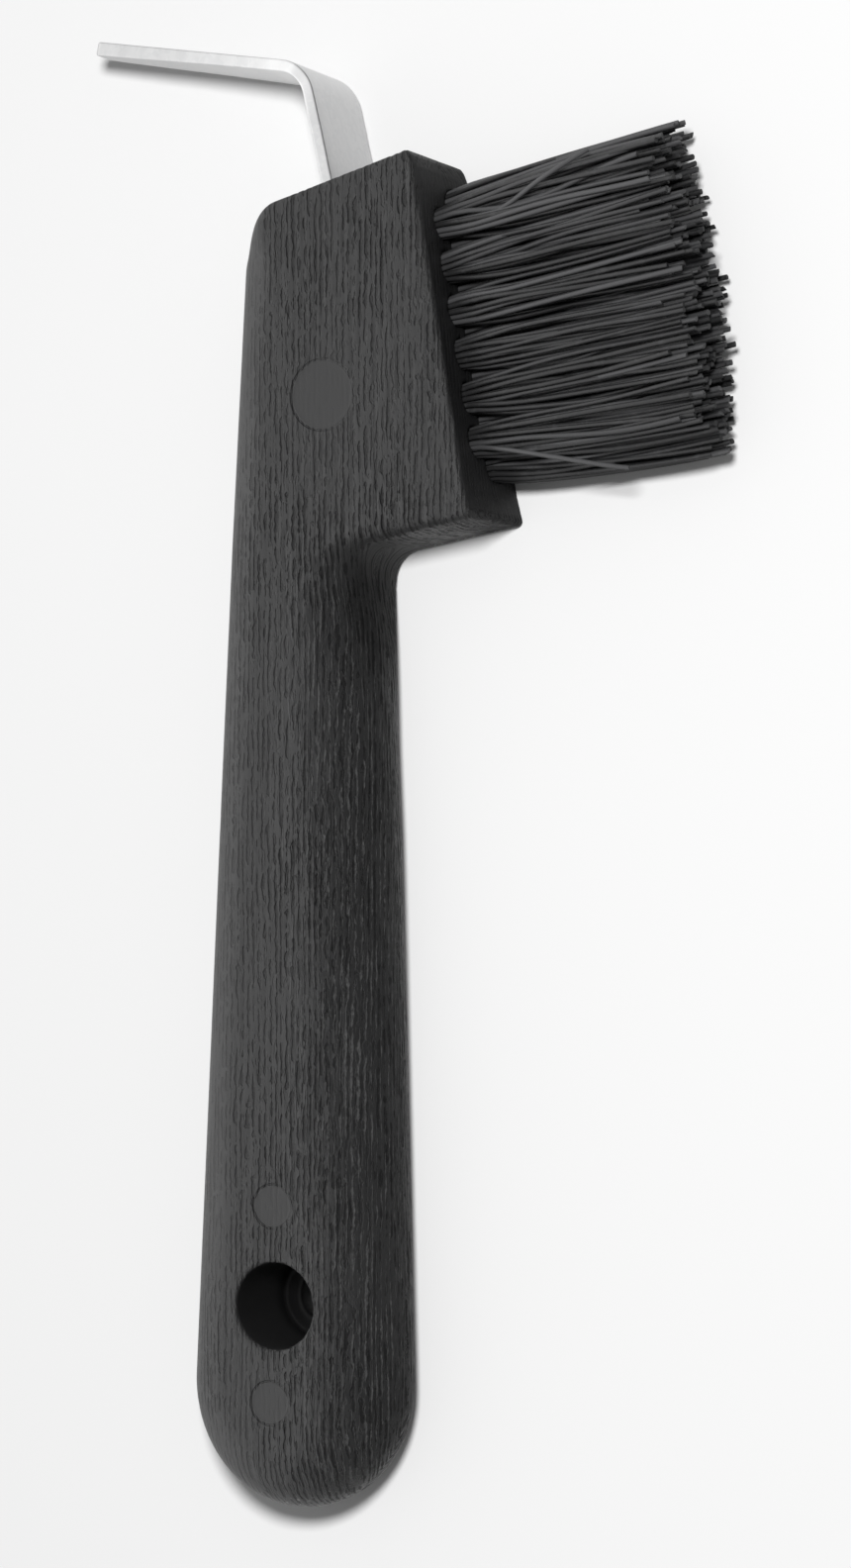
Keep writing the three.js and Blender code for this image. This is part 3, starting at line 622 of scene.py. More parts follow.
def tuft(number, s0, z0, tip_z):
    """One folded tuft: separate filaments that crowd together in the hole and fan out to cut ends."""
    rng = np.random.RandomState(400 + number)
    sides, steps = ((7, 17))
    length = bristle_length(s0)
    verts, faces, shade = [], [], []

    def filament(pts, radius, tilt, value):
        tan = np.gradient(pts, axis=0)
        tan /= np.linalg.norm(tan, axis=1)[:, None]
        base, last = len(verts), len(pts) - 1
        for k, (p, t3) in enumerate(zip(pts, tan)):
            e1 = np.cross(t3, [0, 0, 1.0])
            e1 /= np.linalg.norm(e1)
            e2 = np.cross(t3, e1)
            rr = radius * (0.86 if k == 0 else 1.0)
            for j in range(sides):
                a = 2 * math.pi * j / sides
                q = p + rr * (math.cos(a) * e1 + math.sin(a) * e2)
                if k == last:      # the cut end slopes a little
                    q = q + t3 * rr * (tilt[0] * math.cos(a) + tilt[1] * math.sin(a))
                verts.append(q)
                shade.append(value)
        for k in range(last):
            for j in range(sides):
                j2 = (j + 1) % sides
                faces.append((base + k * sides + j, base + (k + 1) * sides + j, base + (k + 1) * sides + j2, base + k * sides + j2))
        faces.append(tuple(base + j for j in range(sides)))
        faces.append(tuple(base + last * sides + j for j in reversed(range(sides))))

    # roots in rings inside the hole
    roots = [(0.0, 0.0)]
    for n_ring, rad in ((6, 0.58), (11, 1.12), (14, 1.62)):
        for j in range(n_ring):
            a = 2 * math.pi * (j + 0.5 * (n_ring % 4)) / n_ring
            roots.append((rad * math.cos(a), rad * math.sin(a)))
    for rx, rz in roots:
        rx += rng.uniform(-0.05, 0.05)
        rz += rng.uniform(-0.05, 0.05)
        radius = rng.uniform(0.29, 0.37)
        rho = math.hypot(rx, rz) / 1.62
        ang = math.atan2(rz, rx) + rng.normal(0, 0.34)
        spread = rho * rng.uniform(0.80, 1.16)
        tx = splay(s0) + 3.05 * spread * math.cos(ang) + rng.normal(0, 0.42)
        edge = min(s0 + tx + 4.75, 36.0 - s0 - tx)          # room left to the brush's outline
        calm = float(smoothstep(edge, -0.3, 1.5))
        tx = min(max(tx, -4.75 - s0), 36.0 - s0)
        tz = (tip_z - z0) + 2.35 * spread * math.sin(ang) + rng.normal(0, 0.30)
        tz = min(max(tz, -5.6 - z0), 5.6 - z0)
        # the brush is trimmed rounder towards the front
        span = length - 0.3 * rho - 1.7 * float(smoothstep(z0 + tz, -1.0, 4.8)) + rng.normal(0, 0.70)
        if rng.rand() < 0.16:
            span -= rng.uniform(1.0, 5.0)
        span = min(span, length + 1.0)
        w1, w2 = rng.normal(0, 0.36, 2) * (0.25 + 0.75 * calm), rng.normal(0, 0.13, 2) * calm
        f1, f2 = rng.uniform(0.8, 1.5), rng.uniform(1.9, 3.1)
        ph1, ph2 = rng.uniform(0, 2 * math.pi, 2)
        flare = rng.uniform(1.9, 3.0)
        pts = []
        for k in range(steps + 1):
            t = k / steps
            y = -8.3 + (span + 8.3) * t
            if y < 0:
                px, pz = rx * 0.94, rz * 0.94
                # in the hole they pass the anchor on one side or the other
                beside = math.copysign(max(abs(px), 0.26 + radius), px)
                px += (beside - px) * float(smoothstep(y, -1.2, -3.9))
                soft = 0.0
            else:
                g = y / span
                ease = 1 - max(0.0, 1 - g) ** 1.32
                mouth = 1 - math.exp(-y / flare)
                px = rx + (tx - rx) * ease + rx * 0.34 * mouth * (1 - g)
                pz = rz + (tz - rz) * ease + rz * 0.16 * mouth * (1 - g)
                soft = float(smoothstep(g, 0, 0.30))
            px += soft * (w1[0] * math.sin(f1 * math.pi * t + ph1) + w2[0] * math.sin(f2 * math.pi * t + ph2))
            pz += soft * (w1[1] * math.sin(f1 * math.pi * t + ph1 + 1) + w2[1] * math.sin(f2 * math.pi * t + ph2 + 2))
            pts.append((px, y, pz))
        filament(np.array(pts), radius, rng.normal(0, 0.25, 2), rng.rand())
    if number in STRAYS:
        key = np.array(STRAYS[number])
        at = np.linspace(0, len(key) - 1, 26)
        way = np.stack([np.interp(at, np.arange(len(key)), key[:, c]) for c in range(3)], 1)
        for _ in range(6):
            way[1:-1] = (way[:-2] + 2 * way[1:-1] + way[2:]) / 4
        way = way - [s0, 0, z0]
        beside = np.copysign(np.maximum(np.abs(way[:, 0]), 0.60), way[:, 0])
        way[:, 0] += (beside - way[:, 0]) * smoothstep(way[:, 1], -1.2, -3.9)
        filament(way, 0.31, (0.2, 0.1), 0.9)
    verts = np.array(verts)
    o = FACE_A + FACE_DIR * s0
    world = np.empty_like(verts)
    world[:, 0] = o[0] + verts[:, 0] * FACE_DIR[0] + verts[:, 1] * FACE_OUT[0]
    world[:, 1] = o[1] + verts[:, 0] * FACE_DIR[1] + verts[:, 1] * FACE_OUT[1]
    world[:, 2] = z0 + verts[:, 2]
    world[:, 0] = np.minimum(world[:, 0], CAD_BOX[1][0] * 1000 - OFFSET[0] - 0.01)
    ob = make_object("tuft_%02d_visual" % number, world, faces)
    add_attribute(ob, "strand", "FLOAT", shade)
    import bmesh
    bm = bmesh.new()
    bm.from_mesh(ob.data)
    bmesh.ops.recalc_face_normals(bm, faces=bm.faces)
    for e in bm.edges:
        if len(e.link_faces) == 2 and e.calc_face_angle(0) > math.radians(60):
            e.smooth = False
    bm.to_mesh(ob.data)
    bm.free()
    return ob


# ------------------------------------------------------------------- materials

class Nodes:
    """Small helper for building a node tree."""

    def __init__(self, name):
        self.mat = bpy.data.materials.new(name)
        self.mat.use_nodes = True
        self.tree = self.mat.node_tree
        self.tree.nodes.clear()

    def new(self, kind, **values):
        node = self.tree.nodes.new(kind)
        for key, value in values.items():
            setattr(node, key, value)
        return node

    def link(self, a, b):
        self.tree.links.new(a, b)

    def put(self, socket, value):
        if isinstance(value, bpy.types.NodeSocket):
            self.link(value, socket)
        else:
            socket.default_value = value

    def math(self, op, a, b=0.0, c=0.0, clamp=False):
        n = self.new("ShaderNodeMath", operation=op, use_clamp=clamp)
        self.put(n.inputs[0], a)
        self.put(n.inputs[1], b)
        if len(n.inputs) > 2:
            self.put(n.inputs[2], c)
        return n.outputs[0]

    def smooth(self, value, lo, hi, a=0.0, b=1.0):
        n = self.new("ShaderNodeMapRange", interpolation_type="SMOOTHSTEP")
        self.put(n.inputs["Value"], value)
        n.inputs["From Min"].default_value = lo
        n.inputs["From Max"].default_value = hi
        n.inputs["To Min"].default_value = a
        n.inputs["To Max"].default_value = b
        return n.outputs["Result"]

    def combine(self, x=0.0, y=0.0, z=0.0):
        n = self.new("ShaderNodeCombineXYZ")
        self.put(n.inputs[0], x)
        self.put(n.inputs[1], y)
        self.put(n.inputs[2], z)
        return n.outputs[0]

    def separate(self, v):
        n = self.new("ShaderNodeSeparateXYZ")
        self.link(v, n.inputs[0])
        return n.outputs

    def noise(self, vector, scale=1.0, detail=2.0, rough=0.5, dims="3D"):
        n = self.new("ShaderNodeTexNoise", noise_dimensions=dims)
        self.link(vector, n.inputs["Vector"])
        n.inputs["Scale"].default_value = scale
        n.inputs["Detail"].default_value = detail
        n.inputs["Roughness"].default_value = rough
        return n.outputs["Fac"]

    def mix_colour(self, fac, a, b):
        n = self.new("ShaderNodeMix", data_type="RGBA")
        self.put(n.inputs["Factor"], fac)
        self.put(n.inputs[6], a)
        self.put(n.inputs[7], b)
        return n.outputs[2]

    def bump(self, height, distance, strength=1.0, normal=None):
        n = self.new("ShaderNodeBump")
        n.inputs["Strength"].default_value = strength
        n.inputs["Distance"].default_value = distance
        self.link(height, n.inputs["Height"])
        if normal is not None:
            self.link(normal, n.inputs["Normal"])
        return n.outputs["Normal"]

    def shader(self, colour, roughness, normal=None, **plain):
        n = self.new("ShaderNodeBsdfPrincipled")
        self.put(n.inputs["Base Color"], colour)
        self.put(n.inputs["Roughness"], roughness)
        if normal is not None:
            self.link(normal, n.inputs["Normal"])
        for key, value in plain.items():
            n.inputs[key.replace("_", " ")].default_value = value
        out = self.new("ShaderNodeOutputMaterial")
        self.link(n.outputs[0], out.inputs["Surface"])
        return self.mat


def handle_material():
    m = Nodes("black_moulded_plastic")
    flow = m.new("ShaderNodeAttribute", attribute_name="flow").outputs["Vector"]
    grain = m.new("ShaderNodeAttribute", attribute_name="grain").outputs["Fac"]
    coords = m.new("ShaderNodeTexCoord").outputs["Object"]
    px, py, pz = m.separate(coords)
    u, v, z = m.separate(flow)
    back = m.math("LESS_THAN", z, 0.0)
    u = m.math("MULTIPLY_ADD", back, 37.3, u)

    # straight fine lines along the handle, each broken into dashes of its own
    blot_at = m.combine(m.math("MULTIPLY", u, 2.3), m.math("MULTIPLY", v, 1.15), m.math("MULTIPLY", z, 1.3))
    blot = m.math("SUBTRACT", m.noise(blot_at, 1.0, 2.0, 0.6), 0.5)

    def lines(pitch, drift, shift, along, lo, hi, wide):
        slow = m.combine(m.math("MULTIPLY_ADD", u, 0.30, shift), m.math("MULTIPLY", v, 0.040), m.math("MULTIPLY", z, 0.2))
        wobble = m.combine(m.math("MULTIPLY_ADD", u, 0.9, shift), m.math("MULTIPLY", v, 0.42), m.math("MULTIPLY", z, 0.5))
        moved = m.math("MULTIPLY_ADD", m.noise(slow, 1.0, 1.0, 0.5), drift, u)
        moved = m.math("MULTIPLY_ADD", m.noise(wobble, 1.0, 1.0, 0.5), 0.55, moved)
        phase = m.math("DIVIDE", moved, pitch)
        band = m.math("FLOOR", phase)
        tri = m.math("ABSOLUTE", m.math("SUBTRACT", m.math("SUBTRACT", phase, band), 0.5))     # 0 in the middle of a line
        tri = m.math("MULTIPLY_ADD", blot, 0.55, tri)
        at = m.combine(m.math("MULTIPLY_ADD", band, 7.31, shift), m.math("MULTIPLY", v, along), m.math("MULTIPLY", band, 2.17))
        dash = m.noise(at, 1.0, 2.0, 0.55)
        width = m.smooth(dash, lo, hi, -0.06, wide)
        return m.smooth(m.math("SUBTRACT", width, tri), -0.11, 0.11)

    groove = lines(0.79, 1.2, 0.0, 0.36, 0.40, 0.57, 0.25)
    small = lines(0.47, 1.6, 13.7, 0.70, 0.48, 0.68, 0.22)
    # ticks and dots where the lines break up
    tick_at = m.combine(m.math("MULTIPLY", u, 1.7), m.math("MULTIPLY", v, 0.9), m.math("MULTIPLY", z, 1.0))
    tick = m.smooth(m.noise(tick_at, 1.0, 2.0, 0.5), 0.62, 0.72)
    swell_at = m.combine(m.math("MULTIPLY", u, 0.75), m.math("MULTIPLY", v, 0.16), m.math("MULTIPLY", z, 0.4))
    swell = m.noise(swell_at, 1.0, 2.0, 0.5)
    patch = m.smooth(m.noise(m.combine(m.math("MULTIPLY", u, 0.14), m.math("MULTIPLY", v, 0.045), 3.3), 1.0, 2.0, 0.5), 0.34, 0.62, 0.45, 1.0)
    # grooves deepen towards the right side of the handle
    lean = m.math("MULTIPLY_ADD", v, 0.0275, u)
    right = m.math("MULTIPLY", m.smooth(lean, -27.0, -6.0, 0.50, 1.75), m.smooth(v, 28.0, 44.0, 1.0, 0.58))
    # there the plastic stands up in narrow ridges, painted pale as their highlight; further left it has narrow grooves
    ridge = lines(0.71, 1.3, 29.3, 0.20, 0.36, 0.60, 0.16)
    far = m.math("MULTIPLY", m.smooth(lean, -18.0, -10.0), m.smooth(v, 30.0, 20.0))
    ridge = m.math("MULTIPLY", ridge, m.math("MULTIPLY", far, grain))
    height = m.math("MULTIPLY", groove, m.math("MULTIPLY_ADD", far, 0.45, -1.0))
    height = m.math("MULTIPLY_ADD", ridge, 1.0, height)
    height = m.math("MULTIPLY_ADD", small, -0.42, height)
    height = m.math("MULTIPLY_ADD", tick, -0.40, height)
    height = m.math("MULTIPLY_ADD", swell, 0.9, height)

    # the round moulding marks: smooth, crisp edged, on the front only
    front = m.smooth(pz, 0.0140, 0.0148)
    inside, rim = 0.0, 0.0
    for cx, cy, cr in DISCS:
        dx = m.math("SUBTRACT", px, (cx + OFFSET[0]) / 1000)
        dy = m.math("SUBTRACT", py, (cy + OFFSET[1]) / 1000)
        rho = m.math("SQRT", m.math("ADD", m.math("MULTIPLY", dx, dx), m.math("MULTIPLY", dy, dy)))
        inside = m.math("ADD", m.smooth(rho, (cr + 0.05) / 1000, (cr - 0.10) / 1000), inside)
        off = m.math("ABSOLUTE", m.math("SUBTRACT", rho, (cr + 0.08) / 1000))
        rim = m.math("ADD", m.smooth(off, 0.00022, 0.00004), rim)
    inside = m.math("MULTIPLY", inside, front)
    rim = m.math("MULTIPLY", rim, front)
    free = m.math("SUBTRACT", 1.0, m.math("MULTIPLY", inside, 0.93))
    amount = m.math("MULTIPLY", m.math("MULTIPLY", m.math("MULTIPLY", grain, right), patch), free)
    height = m.math("MULTIPLY", height, amount)
    height = m.math("MULTIPLY_ADD", inside, -0.55, height)
    height = m.math("MULTIPLY_ADD", rim, -0.55, height)

    grit = m.noise(coords, 2600.0, 3.0, 0.6)
    n1 = m.bump(height, 0.00021, 1.0)
    normal = m.bump(grit, 0.000014, 1.0, n1)
    # colour: near black; the grooves are painted darker as shade in them, the ridges paler as a painted highlight, and
    # it is pale where it is worn
    dust = m.noise(coords, 55.0, 4.0, 0.6)
    fleck = m.smooth(m.noise(coords, 900.0, 2.0, 0.5), 0.70, 0.80)
    base = m.mix_colour(m.smooth(dust, 0.3, 0.7), (0.0100, 0.0100, 0.0103, 1), (0.0145, 0.0145, 0.0148, 1))
    # painted shade: the grooves are painted darker than the plastic round them
    dark = m.math("MULTIPLY", m.math("MULTIPLY_ADD", small, 0.30, groove), m.math("MULTIPLY", amount, 0.72), clamp=True)
    base = m.mix_colour(dark, base, (0.004, 0.004, 0.0042, 1))
    # painted highlight: the ridges on the right side are painted paler
    base = m.mix_colour(m.math("MULTIPLY", m.math("MULTIPLY", ridge, free), m.smooth(m.noise(tick_at, 2.3, 2.0, 0.5), 0.30, 0.65, 0.25, 0.95)), base, (0.058, 0.058, 0.0584, 1))
    # scuffs: pale flecks along the left edge and round the butt
    left = m.math("MULTIPLY_ADD", v, -0.0486, m.math("ADD", u, 1.186))
    edge = m.math("MULTIPLY", m.smooth(left, -24.2, -26.6), m.smooth(left, -30.2, -28.2))
    butt = m.math("MULTIPLY", m.smooth(v, -87.0, -92.0), m.smooth(v, -98.0, -95.0))
    worn = m.math("MAXIMUM", edge, butt)
    scuff = m.smooth(m.math("MULTIPLY_ADD", worn, 0.10, m.noise(coords, 1500.0, 3.0, 0.6)), 0.70, 0.77)
    base = m.mix_colour(m.math("MULTIPLY", m.math("MULTIPLY", scuff, worn), 0.8), base, (0.20, 0.20, 0.20, 1))
    # painted shade: the hanging hole is painted darker inside, more so deeper down towards its step
    hx = m.math("SUBTRACT", px, (HOLE[0] + OFFSET[0]) / 1000)
    hy = m.math("SUBTRACT", py, (HOLE[1] + OFFSET[1]) / 1000)
    bore = m.math("SQRT", m.math("ADD", m.math("MULTIPLY", hx, hx), m.math("MULTIPLY", hy, hy)))
    bore = m.math("MULTIPLY", m.smooth(bore, 0.00565, 0.00535), m.smooth(pz, 0.0148, 0.0110))
    base = m.mix_colour(m.math("MULTIPLY", bore, m.smooth(pz, 0.0060, 0.0034, 0.0, 0.86)), base, (0.0026, 0.0026, 0.0027, 1))
    # painted shade: the fine ring groove round each moulding mark is painted darker
    base = m.mix_colour(m.math("MULTIPLY", rim, 0.6), base, (0.005, 0.005, 0.0052, 1))
    base = m.mix_colour(m.math("MULTIPLY", inside, 0.75), base, (0.0138, 0.0138, 0.0141, 1))
    base = m.mix_colour(m.math("MULTIPLY", fleck, 0.35), base, (0.055, 0.055, 0.055, 1))
    rough = m.math("MULTIPLY_ADD", dust, 0.14, 0.43)
    rough = m.math("MULTIPLY_ADD", dark, 0.22, rough)
    # painted shade: the inner corner under the head and the front round the topmost tufts are painted darker
    nx = m.math("SUBTRACT", px, -0.0013)
    ny = m.math("MULTIPLY", m.math("SUBTRACT", py, 0.0195), 0.75)
    nook = m.math("SQRT", m.math("ADD", m.math("MULTIPLY", nx, nx), m.math("MULTIPLY", ny, ny)))
    nook = m.math("MULTIPLY", m.smooth(nook, 0.0096, 0.0022), m.smooth(pz, 0.0152, 0.0112))
    top = m.math("MULTIPLY", m.math("MULTIPLY", m.smooth(px, 0.0046, 0.0056), m.smooth(py, 0.0640, 0.0668)), m.smooth(pz, 0.0155, 0.0150))
    painted_corner_shade = m.math("MAXIMUM", nook, m.math("MULTIPLY", top, 0.35))
    base = m.mix_colour(m.math("MULTIPLY", painted_corner_shade, 0.60), base, (0.0024, 0.0024, 0.0025, 1))
    # the underside of the head is scuffed paler
    under = m.math("MULTIPLY", m.smooth(px, 0.0010, 0.0065), m.smooth(v, 29.6, 28.2))
    under = m.math("MULTIPLY", under, m.smooth(pz, 0.0150, 0.0142))
    head = m.math("MULTIPLY", m.smooth(py, 0.034, 0.048), m.smooth(pz, 0.0135, 0.0148))
    base = m.mix_colour(m.math("MULTIPLY", head, 0.15), base, (0.0, 0.0, 0.0, 1))
    rub = m.smooth(m.noise(m.combine(m.math("MULTIPLY", px, 800.0), m.math("MULTIPLY", py, 800.0), m.math("MULTIPLY", pz, 1300.0)), 1.0, 3.0, 0.65), 0.46, 0.62)
    base = m.mix_colour(m.math("MULTIPLY", m.math("MULTIPLY", under, rub), m.smooth(v, 14.0, 18.0, 0.0, 0.85)), base, (0.085, 0.085, 0.0855, 1))
    rough = m.math("MULTIPLY_ADD", painted_corner_shade, 0.28, rough)
    return m.shader(base, rough, normal, IOR=1.6)


def steel_material():
    m = Nodes("dull_zinc_steel")
    coords = m.new("ShaderNodeTexCoord").outputs["Object"]
    x, y, z = m.separate(coords)
    cloud = m.noise(coords, 120.0, 3.0, 0.5)
    grain = m.noise(m.combine(m.math("MULTIPLY", x, 2600.0), m.math("MULTIPLY", y, 2600.0), m.math("MULTIPLY", z, 900.0)), 1.0, 3.0, 0.6)
    spangle = m.new("ShaderNodeTexVoronoi", feature="F1")
    m.link(coords, spangle.inputs["Vector"])
    spangle.inputs["Scale"].default_value = 1500.0
    cell = m.separate(spangle.outputs["Color"])[0]
    tone = m.math("ADD", m.math("MULTIPLY", cloud, 0.5), m.math("MULTIPLY", cell, 0.5))
    colour = m.mix_colour(m.smooth(tone, 0.2, 0.8), (0.555, 0.557, 0.560, 1), (0.615, 0.615, 0.615, 1))
    # the zinc is duller towards the tip and bright where the bend stretched it
    colour = m.mix_colour(m.smooth(x, -0.016, -0.036, 0.0, 0.17), colour, (0.0, 0.0, 0.0, 1))
    bend = m.math("MULTIPLY", m.math("MULTIPLY", m.smooth(x, -0.0180, -0.0140), m.smooth(x, -0.0080, -0.0105)), m.smooth(y, 0.080, 0.084))
    colour = m.mix_colour(m.math("MULTIPLY", bend, 0.40), colour, (0.80, 0.80, 0.80, 1))
    rough = m.math("MULTIPLY_ADD", cloud, 0.06, 0.36)
    rough = m.math("MULTIPLY_ADD", cell, 0.06, rough)
    normal = m.bump(grain, 0.000007, 0.8)
    return m.shader(colour, rough, normal, Metallic=1.0)


def bristle_material():
    m = Nodes("black_bristle")
    strand = m.new("ShaderNodeAttribute", attribute_name="strand").outputs["Fac"]
    coords = m.new("ShaderNodeTexCoord").outputs["Object"]
    mottle = m.noise(coords, 700.0, 3.0, 0.6)
    pale = m.smooth(strand, 0.30, 1.0)
    colour = m.mix_colour(pale, (0.0165, 0.0165, 0.017, 1), (0.060, 0.060, 0.062, 1))
    colour = m.mix_colour(m.smooth(mottle, 0.5, 0.8, 0.0, 0.5), colour, (0.065, 0.065, 0.067, 1))
    rough = m.math("MULTIPLY_ADD", mottle, 0.20, 0.36)
    normal = m.bump(mottle, 0.00003, 0.6)
    return m.shader(colour, rough, normal, IOR=1.55)


def anchor_material():
    m = Nodes("anchor_wire")
    coords = m.new("ShaderNodeTexCoord").outputs["Object"]
    tone = m.noise(coords, 500.0, 3.0, 0.5)
    colour = m.mix_colour(tone, (0.5, 0.5, 0.5, 1), (0.68, 0.68, 0.69, 1))
    rough = m.math("MULTIPLY_ADD", tone, 0.2, 0.25)
    return m.shader(colour, rough, m.bump(tone, 0.00002, 0.5), Metallic=1.0)


# -------------------------------------------------------------------- assemble

PLASTIC, STEEL, BRISTLE, WIRE = handle_material(), steel_material(), bristle_material(), anchor_material()


def finish_piece(ob, material, node):
    ob.data.materials.append(material)
    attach(ob, "root")
    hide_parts(node)


finish_piece(handle(), PLASTIC, "handle_body")
finish_piece(pick(), STEEL, "pick_blade")
for number, (s0, z0, tz) in enumerate(TUFTS, 1):
    finish_piece(tuft(number, s0, z0, tz), BRISTLE, "tuft_%02d" % number)
for number in range(1, 14):
    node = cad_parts["tuft_anchor_%02d" % number]
    for slot_ in node.material_slots:
        slot_.material = WIRE

# ------------------------------------------------------- floor, light, camera

KEY_POWER = 40.8
scene = bpy.context.scene
scene.view_settings.view_transform = "Standard"
scene.view_settings.look = "None"
scene.view_settings.exposure = 0.0
scene.view_settings.gamma = 1.0


def floor():
    mesh = bpy.data.meshes.new("floor")
    s = 6.0
    mesh.from_pydata([(-s, -s, 0), (s, -s, 0), (s, s, 0), (-s, s, 0)], [], [(0, 1, 2, 3)])
    ob = bpy.data.objects.new("floor", mesh)
    scene.collection.objects.link(ob)
    ob.location = (0, 0, -0.00002)
    m = Nodes("pale_floor")
    coords = m.new("ShaderNodeTexCoord").outputs["Object"]
    tone = m.noise(coords, 30.0, 2.0, 0.5)
    colour = m.mix_colour(tone, (0.80, 0.80, 0.80, 1), (0.804, 0.804, 0.804, 1))
    # the floor is painted dark to the lower right for glossy rays only: a painted dark reflection, as a dark flag would
    # give
    x, y, _ = m.separate(coords)
    guard = m.math("MULTIPLY", m.smooth(y, 0.0225, 0.0255), m.smooth(y, 0.036, 0.031))
    flag = m.math("MULTIPLY", m.smooth(x, -0.003, 0.006), m.smooth(y, 0.084, 0.074))
    flag = m.math("MULTIPLY", flag, m.math("SUBTRACT", 1.0, m.math("MULTIPLY", guard, m.smooth(x, 0.021, 0.015))))
    flag = m.math("MAXIMUM", flag, m.math("MULTIPLY", m.smooth(x, 0.0055, 0.0085), m.smooth(y, 0.096, 0.088)))
    flag = m.math("MULTIPLY", flag, m.new("ShaderNodeLightPath").outputs["Is Glossy Ray"])
    colour = m.mix_colour(m.math("MULTIPLY", flag, 0.66), colour, (0.0, 0.0, 0.0, 1))
    ob.data.materials.append(m.shader(colour, 0.9, None, **{"Specular_IOR_Level": 0.0}))
    # beyond the lamp's reach the floor runs into a white sweep, which only the camera sees
    far = m.math("SQRT", m.math("ADD", m.math("MULTIPLY", x, x), m.math("MULTIPLY", y, y)))
    far = m.math("MULTIPLY", m.smooth(far, 0.22, 0.75), m.new("ShaderNodeLightPath").outputs["Is Camera Ray"])
    sweep = m.new("ShaderNodeEmission")
    sweep.inputs["Color"].default_value = (0.93, 0.93, 0.93, 1)
    blend = m.new("ShaderNodeMixShader")
    end = [n for n in m.tree.nodes if n.type == "OUTPUT_MATERIAL"][0].inputs["Surface"]
    plain = end.links[0].from_socket
    m.link(far, blend.inputs[0])
    m.link(plain, blend.inputs[1])
    m.link(sweep.outputs[0], blend.inputs[2])
    m.link(blend.outputs[0], end)
    return ob


floor()

world = bpy.data.worlds.new("studio")
scene.world = world
world.use_nodes = True
wt = world.node_tree
wt.nodes.clear()
w_out = wt.nodes.new("ShaderNodeOutputWorld")
# What glossy surfaces see: a large soft panel on the left that fades out to the right.


def wn(kind, **values):
    node = wt.nodes.new(kind)
    for key, value in values.items():
        setattr(node, key, value)
    return node


way = wn("ShaderNodeTexCoord")
parts = wn("ShaderNodeSeparateXYZ")
wt.links.new(way.outputs["Generated"], parts.inputs[0])
pos = wn("ShaderNodeMath", operation="MULTIPLY_ADD")
wt.links.new(parts.outputs["X"], pos.inputs[0])
pos.inputs[1].default_value = -0.5
pos.inputs[2].default_value = 0.5
panel = wn("ShaderNodeValToRGB")
panel.color_ramp.interpolation = "EASE"
stops = [(0.045, 0.18), (0.21, 0.13), (0.4375, 0.28), (0.60, 0.92), (0.725, 1.42), (0.86, 1.62), (0.965, 1.90), (1.0, 1.80)]
while len(panel.color_ramp.elements) < len(stops):
    panel.color_ramp.elements.new(0.5)
for el, (at, value) in zip(panel.color_ramp.elements, stops):
    el.position = at
for el, (at, value) in zip(panel.color_ramp.elements, stops):
    el.color = (value / 1.9, value / 1.9, value / 1.9, 1)
wt.links.new(pos.outputs[0], panel.inputs[0])
lift = wn("ShaderNodeMapRange", interpolation_type="SMOOTHSTEP")
lift.inputs["From Min"].default_value = -0.10
lift.inputs["From Max"].default_value = 0.75
lift.inputs["To Min"].default_value = 0.42 * 1.9
lift.inputs["To Max"].default_value = 1.0 * 1.9
# height above the floor, but the far left keeps its full strength down to the floor
left = wn("ShaderNodeMath", operation="MULTIPLY_ADD")
wt.links.new(parts.outputs["X"], left.inputs[0])
left.inputs[1].default_value = -1.2
left.inputs[2].default_value = -0.54
reach = wn("ShaderNodeMath", operation="MAXIMUM")
wt.links.new(left.outputs[0], reach.inputs[0])
reach.inputs[1].default_value = 0.0
high = wn("ShaderNodeMath", operation="ADD")
wt.links.new(parts.outputs["Z"], high.inputs[0])
wt.links.new(reach.outputs[0], high.inputs[1])
wt.links.new(high.outputs[0], lift.inputs["Value"])
bg = wn("ShaderNodeBackground")
wt.links.new(panel.outputs["Color"], bg.inputs["Color"])
wt.links.new(lift.outputs["Result"], bg.inputs["Strength"])
bg_fill = wn("ShaderNodeBackground")
bg_fill.inputs["Color"].default_value = (1, 1, 1, 1)
bg_fill.inputs["Strength"].default_value = 0.24
bg_cam = wn("ShaderNodeBackground")
bg_cam.inputs["Color"].default_value = (0.93, 0.93, 0.93, 1)
lp = wn("ShaderNodeLightPath")
mix_fill = wn("ShaderNodeMixShader")
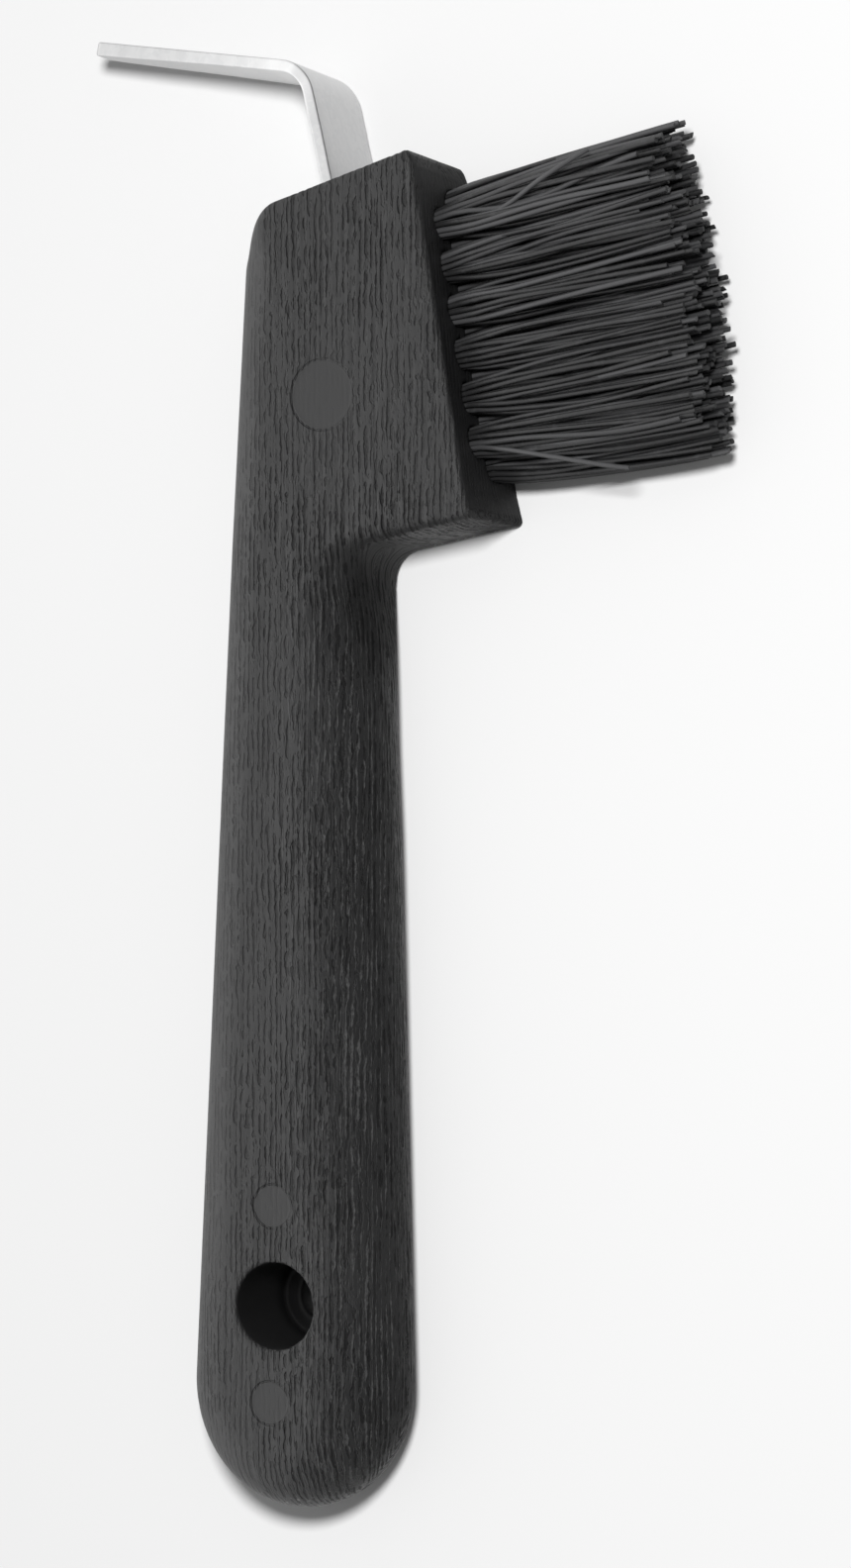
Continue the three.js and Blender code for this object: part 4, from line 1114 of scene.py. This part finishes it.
wt.links.new(lp.outputs["Is Diffuse Ray"], mix_fill.inputs[0])
wt.links.new(bg.outputs[0], mix_fill.inputs[1])
wt.links.new(bg_fill.outputs[0], mix_fill.inputs[2])
mix = wn("ShaderNodeMixShader")
wt.links.new(lp.outputs["Is Camera Ray"], mix.inputs[0])
wt.links.new(mix_fill.outputs[0], mix.inputs[1])
wt.links.new(bg_cam.outputs[0], mix.inputs[2])
wt.links.new(mix.outputs[0], w_out.inputs["Surface"])
world.cycles.sampling_method = "NONE"

PSI, THETA, RANGE = math.radians(26.8), math.radians(1.0), 464.0
cam = bpy.data.cameras.new("camera")
cam.sensor_fit = "VERTICAL"
cam.sensor_height = 36.0
cam.lens = 85.0
cam.clip_start = 0.01
cam.clip_end = 50.0
cam_ob = bpy.data.objects.new("camera", cam)
scene.collection.objects.link(cam_ob)
back = Vector((math.sin(PSI) * math.cos(THETA), -math.sin(THETA), math.cos(PSI) * math.cos(THETA)))
target = Vector(to_row([[0, 0, 0]])[0])
right_v = Vector((0, 1, 0)).cross(back).normalized()
up_v = back.cross(right_v)
rot = Matrix((right_v, up_v, back)).transposed()
cam_ob.matrix_world = Matrix.Translation(target + back * (RANGE / 1000)) @ rot.to_4x4()
scene.camera = cam_ob

# The key is a soft lamp up and to the left of the photo's viewpoint, of even strength
# over the floor, so the shadow is a narrow soft edge at the lower right.
key = bpy.data.lights.new("key", "POINT")
key.energy = KEY_POWER
key.shadow_soft_size = 0.040
key.use_nodes = True
kt = key.node_tree
kt.nodes.clear()
fall = kt.nodes.new("ShaderNodeLightFalloff")
fall.inputs["Strength"].default_value = 1.0
glow = kt.nodes.new("ShaderNodeEmission")
k_out = kt.nodes.new("ShaderNodeOutputLight")
kt.links.new(fall.outputs["Constant"], glow.inputs["Strength"])
kt.links.new(glow.outputs[0], k_out.inputs[0])
key_ob = bpy.data.objects.new("key", key)
scene.collection.objects.link(key_ob)
key_ob.location = target + back * (RANGE / 1000) - right_v * 0.040 + up_v * 0.095
key_ob.visible_glossy = False
key_ob.visible_camera = False
